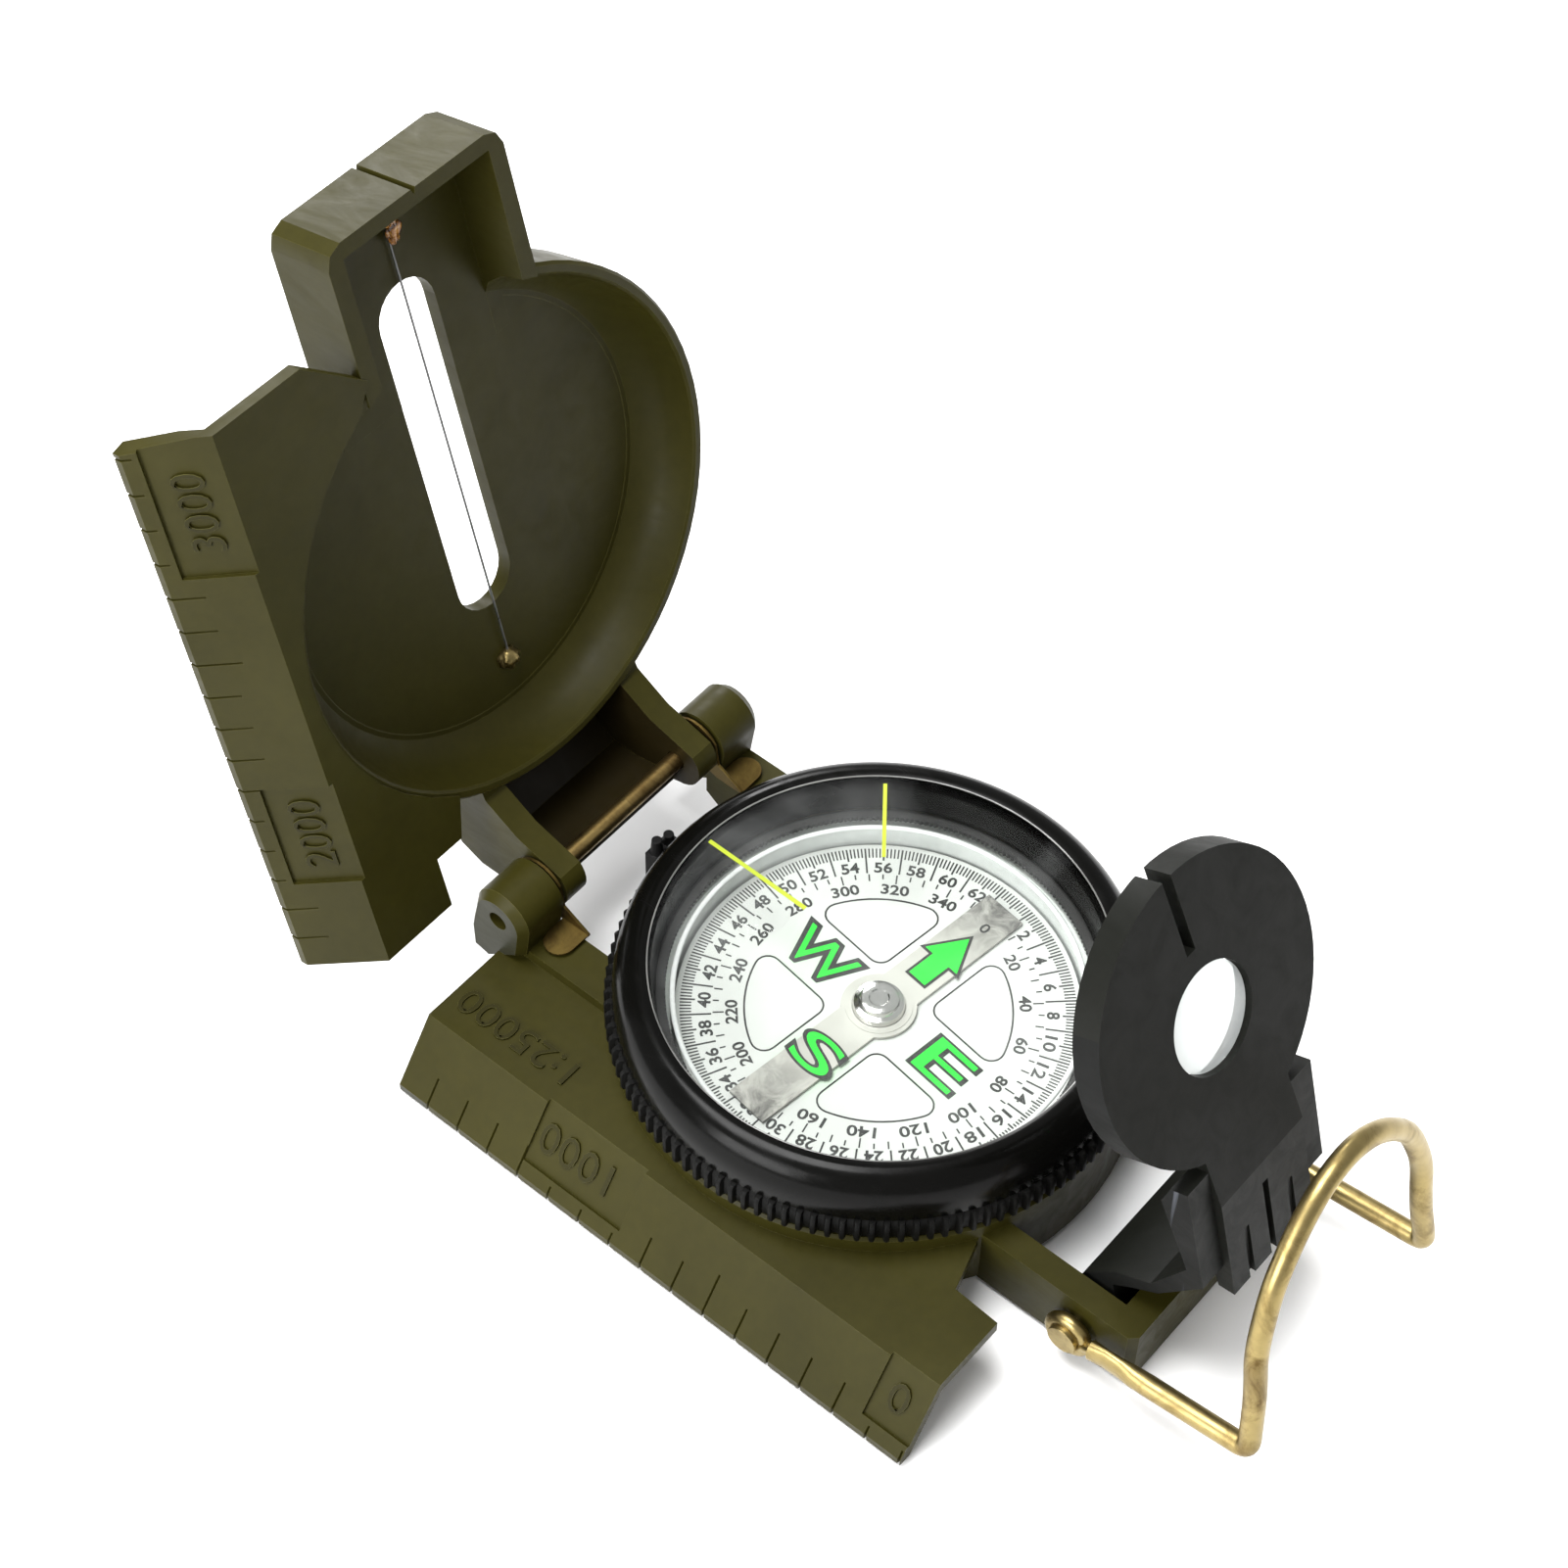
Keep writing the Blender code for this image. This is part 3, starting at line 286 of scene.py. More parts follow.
# Lighter charcoal for the rounded edge faces: a painted highlight where the edges catch the light.
CHARCOAL_EDGE_HIGHLIGHT = plastic("sight_edge_highlight", (0.012, 0.0125, 0.011), (0.018, 0.018, 0.016), 0.45, specular=0.2)
CHARCOAL_WORN = plastic("sight_worn", (0.005, 0.0053, 0.005), (0.007, 0.0073, 0.0068), 0.5, specular=0.08)
BLACK = plastic("black_plastic", (0.003, 0.003, 0.003), (0.006, 0.006, 0.006), 0.5, specular=0.12)
LOOP = brass("loop_brass", (0.33, 0.255, 0.105), (0.12, 0.075, 0.022), 0.3, (1.0, 1.0, 1.0), 0.48)
PIN = brass("hinge_brass", (0.38, 0.27, 0.1), (0.1, 0.06, 0.02), 0.3, (0.06, 1.0, 1.0))
SHIM = brass("shim_brass", (0.15, 0.105, 0.03), (0.07, 0.045, 0.014), 0.42)
CHROME = Look("hub_chrome", (0.75, 0.74, 0.73), 0.12, metallic=1.0)
CHROME.rough(CHROME.grey(CHROME.noise(1500.0, 3.0, stretch=(1.0, 1.0, 0.1)), [(0.3, 0.08), (0.7, 0.24)]))
WIRE = Look("wire_steel", (0.2, 0.2, 0.2), 0.35, metallic=1.0)
WIRE.rough(WIRE.grey(WIRE.noise(800.0), [(0.3, 0.25), (0.7, 0.5)]))
GLASS = clear("window_glass", (0.99, 0.995, 0.99), 0.97)
CRYSTAL = clear("capsule_crystal", (0.985, 0.99, 0.985), 0.95, wobble=0.4)
BLISTER = clear("magnifier_crystal", (0.995, 0.995, 0.995), 0.97, index=1.12)
LENS = clear("lens_glass", (0.93, 0.95, 0.94), 0.5, index=1.3, milky=0.35)
INK = Look("dial_ink", (0.012, 0.012, 0.012), 0.5)
INK.colour(INK.ramp(INK.noise(1500.0, 2.0), [(0.3, (0.008, 0.008, 0.008)), (0.75, (0.035, 0.035, 0.035))]))


def card_look():
    """White card with a painted green glow round each luminous letter, standing in for the light the letters
    cast on the card.
    """
    look = Look("dial_card", (0.88, 0.89, 0.88), 0.42)
    look.shader.inputs["Emission Color"].default_value = (1.0, 1.0, 1.0, 1.0)
    look.shader.inputs["Emission Strength"].default_value = 0.0
    paper = look.ramp(look.noise(70.0, 4.0), [(0.3, (0.55, 0.56, 0.545)), (0.7, (0.61, 0.62, 0.605))])
    # Painted glow: the card is tinted green round each luminous letter, in place of the light the letters
    # cast on it.
    north = math.radians(NORTH_DEG)
    for east, up in ((-8.3, -1.2), (9.3, -0.6), (0.4, -8.6)):
        place = local_to_world(east, up, north)
        offset = look.node("ShaderNodeMapping")
        offset.inputs["Location"].default_value = (-place[0] * MM, -place[1] * MM, -CARD_TOP * MM)
        look.link(look.coords, offset.inputs["Vector"])
        length = look.node("ShaderNodeVectorMath", operation="LENGTH")
        look.link(offset.outputs["Vector"], length.inputs[0])
        spread = look.node("ShaderNodeMath", operation="MULTIPLY")
        spread.inputs[1].default_value = 1.0 / (5.2 * MM)
        look.link(length.outputs["Value"], spread.inputs[0])
        glow = look.grey(spread.outputs[0], [(0.35, 0.34), (1.0, 0.0)])
        paper = look.mix(glow, paper, (0.42, 0.86, 0.42))
    look.colour(paper)
    look.bump(look.noise(1800.0, 2.0), 0.04, 0.05)
    return look


def local_to_world(east, up, north):
    """A point of the dial, given to the east and north of its centre."""
    x = up * math.cos(north) + east * math.sin(north)
    y = up * math.sin(north) - east * math.cos(north)
    return x, y


def bar_look():
    """Pale metal bar whose two ends are smudged dark."""
    look = Look("magnet_bar", (0.62, 0.6, 0.56), 0.38, metallic=0.35)
    base = look.ramp(look.noise(45.0, 4.0), [(0.3, (0.42, 0.41, 0.38)), (0.7, (0.55, 0.545, 0.51))])
    split = look.node("ShaderNodeVectorMath", operation="LENGTH")
    look.link(look.coords, split.inputs[0])
    reach = look.node("ShaderNodeMath", operation="MULTIPLY")
    reach.inputs[1].default_value = 1.0 / (22.0 * MM)
    look.link(split.outputs["Value"], reach.inputs[0])
    ends = look.grey(reach.outputs[0], [(0.62, 0.0), (0.93, 1.0)])
    blots = look.grey(look.noise(330.0, 5.0, 0.65, 1.0), [(0.4, 0.0), (0.6, 0.9)])
    smudge = look.mix(1.0, ends, blots, "MULTIPLY")
    look.colour(look.mix(smudge, base, (0.055, 0.052, 0.05)))
    look.rough(look.grey(look.noise(200.0), [(0.3, 0.3), (0.7, 0.5)]))
    return look


def luminous(name, colour, glow):
    look = Look(name, colour, 0.42)
    shade = tuple(value * 0.86 for value in colour)
    look.colour(look.ramp(look.noise(300.0, 3.0), [(0.3, shade), (0.7, colour)]))
    look.shader.inputs["Emission Color"].default_value = (*colour, 1.0)
    look.shader.inputs["Emission Strength"].default_value = glow
    return look


def resin_look():
    """Set resin: amber with dark brown runs."""
    look = Look("anchor_resin", (0.35, 0.14, 0.03), 0.18)
    runs = look.noise(700.0, 5.0, 0.6, 1.5)
    brown, amber, pale = (0.045, 0.018, 0.006), (0.3, 0.12, 0.02), (0.55, 0.33, 0.09)
    look.colour(look.ramp(runs, [(0.38, brown), (0.52, amber), (0.66, pale)]))
    look.bump(runs, 0.4, 0.2)
    return look


CARD = card_look()
BAR = bar_look()
LUME = luminous("luminous_green", (0.012, 0.68, 0.035), 0.12)
LINE = luminous("luminous_line", (0.36, 0.44, 0.012), 0.05)
RESIN = resin_look()
CAPSULE = plastic("capsule_white", (0.62, 0.64, 0.63), (0.72, 0.74, 0.73), 0.22, 0.01)
RING_DARK = plastic("ring_dark", (0.012, 0.012, 0.012), (0.035, 0.035, 0.034), 0.4)
scratches(CHARCOAL_WORN, (0.15, 1.0, 0.06), 0.66, 0.72, 0.35)


# ---------------------------------------------------------------- pieces

def piece(obj, body, slot, *replaced):
    """Says which body a piece rides on and which CAD nodes it stands for; the slot argument is not used."""
    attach(obj, body)
    if replaced:
        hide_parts(*replaced)
    return obj


def new_object(name, data, *looks):
    obj = bpy.data.objects.new(name, data)
    bpy.context.scene.collection.objects.link(obj)
    if looks:
        data.materials.clear()
        for look in looks:
            data.materials.append(look.material)
    return obj


def shade(obj, degrees=35):
    obj.data.shade_smooth()
    obj.data.set_sharp_from_angle(angle=math.radians(degrees))
    return obj


def from_bmesh(name, bm, *looks, degrees=35, normals=True):
    if normals:
        bmesh.ops.recalc_face_normals(bm, faces=bm.faces)
    data = bpy.data.meshes.new(name)
    bm.to_mesh(data)
    bm.free()
    return shade(new_object(name, data, *looks), degrees)


def bevel(obj, width, segments=2, degrees=28, edge_highlight_slot=-1):
    made = obj.modifiers.new("soft_edges", "BEVEL")
    made.width = width * MM
    made.segments = segments
    made.limit_method = "ANGLE"
    made.angle_limit = math.radians(degrees)
    made.use_clamp_overlap = True
    made.harden_normals = True
    # The rounded edge faces take this slot when one is given: a lighter material that paints a highlight
    # along the edges.
    made.material = edge_highlight_slot
    level = obj.modifiers.new("flat_faces", "WEIGHTED_NORMAL")
    level.keep_sharp = True
    level.weight = 100
    return obj


def tidy_copy(node, *looks, flat_degrees=0.7):
    """A copy of a CAD node's mesh with its flat faces made whole again, so that edges can be rounded."""
    data = frame["nodes"][node].data.copy()
    obj = new_object(node + "_skin", data, *looks)
    bm = bmesh.new()
    bm.from_mesh(data)
    bmesh.ops.remove_doubles(bm, verts=bm.verts, dist=2e-6)
    bmesh.ops.dissolve_limit(bm, angle_limit=math.radians(flat_degrees), verts=bm.verts, edges=bm.edges)
    for face in bm.faces:
        face.material_index = 0
    bm.to_mesh(data)
    bm.free()
    return shade(obj)


def baked(obj):
    """Applies an object's modifiers."""
    bpy.context.view_layer.update()
    graph = bpy.context.evaluated_depsgraph_get()
    data = bpy.data.meshes.new_from_object(obj.evaluated_get(graph))
    obj.modifiers.clear()
    obj.data = data
    return obj


def carve(obj, cutter):
    """Cuts a helper out of a piece, then removes the helper."""
    made = obj.modifiers.new("carve", "BOOLEAN")
    made.operation = "DIFFERENCE"
    made.object = cutter
    made.solver = "EXACT"
    baked(obj)
    bpy.data.objects.remove(cutter, do_unlink=True)
    return obj


def turned(name, profile, *looks, sides=128, degrees=35):
    """(radius, z) points spun about the dial's axis: the outline of a closed ring or disc."""
    bm = bmesh.new()
    verts = [bm.verts.new((radius * MM, 0.0, z * MM)) for radius, z in profile]
    pairs = zip(verts, verts[1:] + verts[:1])
    edges = [bm.edges.new(pair) for pair in pairs if pair[0].co.x > 0.0 or pair[1].co.x > 0.0]
    bmesh.ops.spin(bm, geom=verts + edges, cent=(0, 0, 0), axis=(0, 0, 1), angle=math.tau, steps=sides)
    bmesh.ops.remove_doubles(bm, verts=bm.verts, dist=1e-6)
    return from_bmesh(name, bm, *looks, degrees=degrees)


def round_wire(radius, z, half_width, half_height, sides):
    """Profile of a thin oval wire bent into a ring, for turned()."""
    angles = [math.tau * index / sides for index in range(sides)]
    return [(radius + half_width * math.cos(a), z + half_height * math.sin(a)) for a in angles]


def curve_piece(name, points, radius, look, closed=False, resolution=4, place=None, radii=None):
    """A round wire through points."""
    data = bpy.data.curves.new(name, "CURVE")
    data.dimensions = "3D"
    data.bevel_depth = radius * MM
    data.bevel_resolution = resolution
    data.use_fill_caps = not closed
    spline = data.splines.new("POLY")
    spline.points.add(len(points) - 1)
    for index, point in enumerate(points):
        spline.points[index].co = (*(value * MM for value in point), 1.0)
        spline.points[index].radius = radii[index] if radii else 1.0
    spline.use_cyclic_u = closed
    guide = new_object(name + "_guide", data)
    bpy.context.view_layer.update()
    graph = bpy.context.evaluated_depsgraph_get()
    mesh = bpy.data.meshes.new_from_object(guide.evaluated_get(graph))
    bpy.data.objects.remove(guide, do_unlink=True)
    if place is not None:
        mesh.transform(place)
    bm = bmesh.new()
    bm.from_mesh(mesh)
    bmesh.ops.remove_doubles(bm, verts=bm.verts, dist=1e-6)
    return from_bmesh(name, bm, look)


def frame_of(origin, right, up):
    """Placing whose X and Y axes are the two directions given; the origin is in millimetres."""
    right, up = Vector(right).normalized(), Vector(up).normalized()
    out = right.cross(up)
    made = Matrix((right, up, out)).transposed().to_4x4()
    made.translation = Vector(origin) * MM
    return made


def glyphs(body, width, height, thickness, place, swell=0.0, resolution=3):
    """A bmesh of some characters, fitted to a width and height in millimetres and centred on a placing."""
    data = bpy.data.curves.new("glyphs", "FONT")
    data.body = body
    data.size = 1.0
    data.align_x = "CENTER"
    data.align_y = "CENTER"
    data.resolution_u = resolution
    data.extrude = 0.5
    guide = new_object("glyphs", data)
    bpy.context.view_layer.update()
    graph = bpy.context.evaluated_depsgraph_get()
    mesh = bpy.data.meshes.new_from_object(guide.evaluated_get(graph))
    xs = [vert.co.x for vert in mesh.vertices]
    ys = [vert.co.y for vert in mesh.vertices]
    wide = (max(xs) - min(xs))
    tall = (max(ys) - min(ys))
    if swell:
        data.offset = swell * wide / width
        bpy.context.view_layer.update()
        graph = bpy.context.evaluated_depsgraph_get()
        mesh = bpy.data.meshes.new_from_object(guide.evaluated_get(graph))
    bpy.data.objects.remove(guide, do_unlink=True)
    middle = ((max(xs) + min(xs)) / 2, (max(ys) + min(ys)) / 2)
    fit = Matrix.Diagonal((width / wide * MM, height / tall * MM, thickness * MM, 1.0))
    mesh.transform(place @ fit @ Matrix.Translation((-middle[0], -middle[1], 0.0)))
    bm = bmesh.new()
    bm.from_mesh(mesh)
    bpy.data.meshes.remove(mesh)
    bmesh.ops.remove_doubles(bm, verts=bm.verts, dist=1e-7)
    return bm


def merge(target, source):
    """Adds one bmesh to another."""
    data = bpy.data.meshes.new("merge")
    source.to_mesh(data)
    source.free()
    target.from_mesh(data)
    bpy.data.meshes.remove(data)


def slab(bm, corners, low, high, place=None):
    """Adds a flat polygon of (x, y) corners made thick between two heights."""
    place = place or Matrix.Identity(4)
    rings = []
    for height in (low, high):
        rings.append([bm.verts.new(place @ Vector((x * MM, y * MM, height * MM))) for x, y in corners])
    bm.faces.new(rings[0][::-1])
    bm.faces.new(rings[1])
    for index in range(len(corners)):
        after = (index + 1) % len(corners)
        bm.faces.new((rings[0][index], rings[0][after], rings[1][after], rings[1][index]))


# ---------------------------------------------------------------- ruler

def slope(edge_z, deck_z):
    """Unit direction down the ruler's bevel, its outward normal and its length."""
    run = Vector((RULER_EDGE_X - CREASE_X, 0.0, edge_z - deck_z))
    down = run.normalized()
    normal = Vector((down.z, 0.0, -down.x))
    return down, normal, run.length


def tick_cutter(name, first, last, panels, edge_z, deck_z, shift):
    """V grooves up the bevel from each notch, in the frame where the ruler runs along Y."""
    down, normal, _ = slope(edge_z, deck_z)
    bm = bmesh.new()
    for count in range(first, last + 1):
        reach = LONG_TICK if count % 10 == 5 else TICK_LENGTH
        if any(low <= count <= high for low, high in panels):
            reach = PANEL_TICK
        along = RULER_ZERO_Y + NOTCH_PITCH * count - shift
        edge = Vector((RULER_EDGE_X, along, edge_z))
        rings = []
        for place in (edge + down * 0.6, edge - down * reach):
            half = Vector((0.0, 0.3, 0.0))
            rings.append([place + normal * 0.35 - half, place + normal * 0.35 + half, place - normal * 0.28])
        rows = [[bm.verts.new(point * MM) for point in ring] for ring in rings]
        bm.faces.new(rows[0])
        bm.faces.new(rows[1][::-1])
        for index in range(3):
            after = (index + 1) % 3
            bm.faces.new((rows[0][index], rows[0][after], rows[1][after], rows[1][index]))
    return from_bmesh(name, bm)


def ruler_number(bm, body, along, width, height, edge_z, deck_z, sunk=PANEL_DEPTH):
    """Raised figures on the bevel, reading along Y with their tops towards the thin edge."""
    down, normal, length = slope(edge_z, deck_z)
    middle = Vector((CREASE_X, along, deck_z)) + down * (length * 0.39) - normal * sunk
    place = frame_of(middle, (0.0, 1.0, 0.0), down)
    merge(bm, glyphs(body, width, height, 0.5, place))


# ---------------------------------------------------------------- base

def base():
    skin = tidy_copy("base_body", OLIVE, OLIVE_EDGE_HIGHLIGHT, OLIVE_FACE)
    carve(skin, tick_cutter("ticks", -1, 15, ((-1, 0), (8, 10)), EDGE_TOP_Z, DECK_Z, 0.0))
    for face in skin.data.polygons:
        if abs(face.center.x) > 17.9 * MM and abs(face.normal.x) > 0.6 and face.center.y > 30 * MM:
            face.material_index = 2
    # The rounded edges take slot 1, the lighter olive of the painted edge highlight.
    bevel(shade(skin), 0.22, 2, edge_highlight_slot=1)
    piece(skin, "base", "olive_plastic", "base_body")
    bm = bmesh.new()
    ruler_number(bm, "0", -27.0, 2.2, 3.2, EDGE_TOP_Z, DECK_Z)
    ruler_number(bm, "1000", 13.25, 8.8, 3.4, EDGE_TOP_Z, DECK_Z)
    deck = frame_of((-24.7, 25.8, DECK_Z), (0.0, 1.0, 0.0), (-1.0, 0.0, 0.0))
    merge(bm, glyphs("1:25000", 14.4, 2.9, 0.5, deck))
    # The figures' rounded edges take the painted edge highlight.
    figures = bevel(from_bmesh("base_figures", bm, FIGURE, OLIVE_EDGE_HIGHLIGHT), 0.07, 1, 40, 1)
    piece(figures, "base", "olive_plastic")


def small_base_parts():
    pin = tidy_copy("hinge_pin", PIN)
    piece(bevel(pin, 0.12), "base", "hinge_brass", "hinge_pin")
    pivot = tidy_copy("pivot_pin", LOOP)
    piece(bevel(pivot, 0.25, 3), "base", "hinge_brass", "pivot_pin")
    for side in ("left", "right"):
        node = "friction_shim_" + side
        piece(bevel(tidy_copy(node, SHIM), 0.06), "base", "shim_brass", node)
    click = tidy_copy("click_spring", BLACK)
    piece(bevel(click, 0.25, 3), "base", "click_plastic", "click_spring")


# ---------------------------------------------------------------- bezel

def bezel():
    lip, top = LIP_R, BEZEL_TOP
    profile = [(lip, top - 0.35), (lip + 0.08, top - 0.12), (lip + 0.5, top)]
    for step in range(1, 13):
        angle = math.radians(90 * step / 12)
        rise = SHOULDER_H * math.cos(angle) ** 0.8 if step < 12 else 0.0
        profile.append((lip + 0.5 + SHOULDER_W * math.sin(angle), top - SHOULDER_H + rise))
    profile += [(26.2, 13.3), (25.4, 13.2), (25.4, 10.4), (24.4, 10.3)]
    profile += [(24.4, 13.6), (21.9, 13.9), (22.0, 14.4)]
    profile += [(22.4, 16.8), (23.4, 16.8), (23.4, 18.0), (lip + 0.1, 18.0)]
    ring = turned("bezel_ring_skin", profile, BEZEL, sides=192, degrees=40)
    piece(ring, "bezel", "bezel_plastic", "bezel_ring")
    # A thin light grey ring round the inner lip: a painted highlight along the lip's edge.
    line = turned(
        "bezel_lip_highlight",
        round_wire(22.72, 18.13, 0.09, 0.09, 8),
        LIP_HIGHLIGHT, sides=192,
    )
    piece(line, "bezel", "bezel_plastic")
    bm = bmesh.new()
    outline = []
    tooth_shape = ((0.0, 26.35), (0.22, 26.4), (0.34, 26.92), (0.5, KNURL_R), (0.66, 26.92), (0.78, 26.4))
    for tooth in range(KNURL_TEETH):
        for share, radius in tooth_shape:
            angle = math.tau * (tooth + share) / KNURL_TEETH
            outline.append((radius * math.cos(angle), radius * math.sin(angle)))
    inner = []
    for x, y in outline:
        reach = math.hypot(x, y)
        inner.append((x * KNURL_BORE_R / reach, y * KNURL_BORE_R / reach))
    heights = ((KNURL_LOW, 0.996), (10.75, 1.0), (12.9, 1.0), (KNURL_HIGH, 0.988))
    rings = []
    for z, factor in heights:
        rings.append([bm.verts.new((x * factor * MM, y * factor * MM, z * MM)) for x, y in outline])
    rings.append([bm.verts.new((x * MM, y * MM, KNURL_HIGH * MM)) for x, y in inner])
    rings.append([bm.verts.new((x * MM, y * MM, KNURL_LOW * MM)) for x, y in inner])
    for index, ring_verts in enumerate(rings):
        following = rings[(index + 1) % len(rings)]
        for step in range(len(outline)):
            after = (step + 1) % len(outline)
            bm.faces.new((ring_verts[step], ring_verts[after], following[after], following[step]))
    piece(from_bmesh("bezel_knurl", bm, KNURL, degrees=50), "bezel", "bezel_plastic")
    glass = tidy_copy("bezel_glass", GLASS)
    piece(glass, "bezel", "window_glass", "bezel_glass")
    lines = bmesh.new()
    top = GLASS_TOP + 0.01
    turn = Matrix.Rotation(math.radians(38.0), 4, "Z")
    ahead = Matrix.Rotation(math.radians(89.2), 4, "Z")
    slab(lines, [(22.2, -0.22), (22.2, 0.22), (9.7, 0.24), (9.7, -0.24)], top, top + 0.04, ahead)
    slab(lines, [(21.9, -0.2), (21.9, 0.2), (12.7, 0.2), (12.7, -0.2)], top, top + 0.04, turn)
    piece(from_bmesh("luminous_lines", lines, LINE), "bezel", "window_glass")


# ---------------------------------------------------------------- capsule and dial

def capsule():
    wall = turned(
        "capsule_wall",
        [(22.1, 11.8), (22.1, 1.9), (0.0, 1.9), (0.0, 2.9),
         (20.3, 2.9), (20.5, 9.6), (20.6, 10.4), (21.3, 11.8)],
        CAPSULE,
    )
    piece(wall, "base", "capsule_plastic", "capsule_cup")
    lid = turned(
        "capsule_lid_skin",
        [(22.1, 12.1), (22.1, 12.7), (20.6, 12.7), (20.2, 12.7), (0.0, 12.7), (0.0, 12.1)], CRYSTAL,
    )
    piece(lid, "base", "capsule_crystal", "capsule_lid")
    bm = bmesh.new()
    bmesh.ops.create_uvsphere(bm, u_segments=40, v_segments=20, radius=1.0)
    for vert in bm.verts:
        flat = 0.65 if vert.co.z > 0.0 else 0.3
        across, along = vert.co.x * MAGNIFIER_R, MAGNIFIER_Y + vert.co.y * MAGNIFIER_R
        vert.co = Vector((across, along, MAGNIFIER_Z + vert.co.z * flat)) * MM
    piece(from_bmesh("lid_magnifier", bm, BLISTER, degrees=180), "base", "capsule_crystal")
    # A thin white ring at the capsule lid's edge: a painted highlight on the clear rim.
    rim = turned(
        "capsule_rim_highlight",
        round_wire(20.3, 12.78, 0.28, 0.24, 12),
        CAPSULE,
    )
    piece(rim, "base", "capsule_plastic")
    bm = bmesh.new()
    outline = []
    inner = []
    for tooth in range(RING_TEETH):
        for share, radius in ((0.0, 20.95), (0.5, 21.12)):
            angle = math.tau * (tooth + share) / RING_TEETH
            inner.append((radius * math.cos(angle), radius * math.sin(angle)))
            outline.append((RING_OUTER_R * math.cos(angle), RING_OUTER_R * math.sin(angle)))
    rings = [[bm.verts.new((x * MM, y * MM, z * MM)) for x, y in points]
             for points, z in ((outline, 13.0), (outline, 13.5), (inner, 13.5), (inner, 13.0))]
    for index, ring_verts in enumerate(rings):
        following = rings[(index + 1) % 4]
        for step in range(len(outline)):
            after = (step + 1) % len(outline)
            bm.faces.new((ring_verts[step], ring_verts[after], following[after], following[step]))
    ring = from_bmesh("retaining_ring_skin", bm, RING_DARK, degrees=20)
    piece(ring, "base", "retaining_ring", "capsule_ring")


def dial_place(east=0.0, up=0.0, z=0.0, spin=0.0):
    """Placing on the dial, with X to the east and Y to the north."""
    north = math.radians(NORTH_DEG)
    x, y = local_to_world(east, up, north)
    made = Matrix.Rotation(north - math.pi / 2 + spin, 4, "Z")
    made.translation = Vector((x, y, z)) * MM
    return made


def at_bearing(bearing, radius, z):
    """Placing at a bearing, with Y pointing outwards."""
    angle = math.radians(bearing)
    return dial_place(radius * math.sin(angle), radius * math.cos(angle), z, -angle)


def tick(bm, bearing, low, high, width, z):
    place = at_bearing(bearing, 0.0, 0.0)
    half = width / 2
    slab(bm, [(-half, low), (half, low), (half, high), (-half, high)], z, z + PRINT_T, place)


def dial_print():
    bm = bmesh.new()
    z = CARD_TOP + 0.005
    minor = MILS * MINOR_PER_HUNDRED
    for index in range(minor):
        bearing = 360.0 * index / minor
        hundred, part = divmod(index, MINOR_PER_HUNDRED)
        low, width = 18.45, 0.16
        if part == 0:
            low, width = (18.1, 0.19) if hundred % 2 == 0 else (16.5, 0.19)
        tick(bm, bearing, low, TICK_OUTER_R, width, z)
    for degree in range(0, 360, 5):
        low, high = 15.75, 16.35
        if degree % 10 == 0:
            low = 15.5
        if degree % 20 == 0:
            low = 15.25
        if not 175 <= degree <= 185:
            tick(bm, degree, low, high, 0.16, z)
    for hundred in range(2, MILS, 2):
        body = str(hundred)
        bearing = 360.0 * hundred / MILS
        width = 0.78 if len(body) == 1 else 1.75
        merge(bm, glyphs(body, width, 1.22, PRINT_T, at_bearing(bearing, MILS_TEXT_R, z), swell=0.05))
    for degree in range(20, 360, 20):
        if degree == 180:
            continue
        body = str(degree)
        width = 1.8 if len(body) == 2 else 2.75
        merge(bm, glyphs(body, width, 1.18, PRINT_T, at_bearing(degree, DEGREE_TEXT_R, z), swell=0.05))
    piece(from_bmesh("dial_print", bm, INK, normals=False), "dial", "dial_card")


def window_outline(sign_east, sign_north):
    """A sector between two arms of the dial: two straight sides, an outer arc and round corners."""
    side, outer, corner = 3.45, 13.25, 1.35
    start = math.asin((side + corner) / (outer - corner))
    points = []

    def round_corner(centre, first, last):
        for step in range(7):
            angle = math.radians(first + (last - first) * step / 6)
            points.append((centre[0] + corner * math.cos(angle), centre[1] + corner * math.sin(angle)))

    reach = (outer - corner) * math.cos(start)
    round_corner((side + corner, side + corner), 270, 180)
    top = (side + corner, reach)
    round_corner(top, 180, math.degrees(math.pi / 2 - start))
    for step in range(1, 16):
        angle = math.pi / 2 - start - (math.pi / 2 - 2 * start) * step / 16
        points.append((outer * math.cos(angle), outer * math.sin(angle)))
    round_corner((reach, side + corner), math.degrees(start), -90)
    return [(sign_east * east, sign_north * north) for east, north in points]


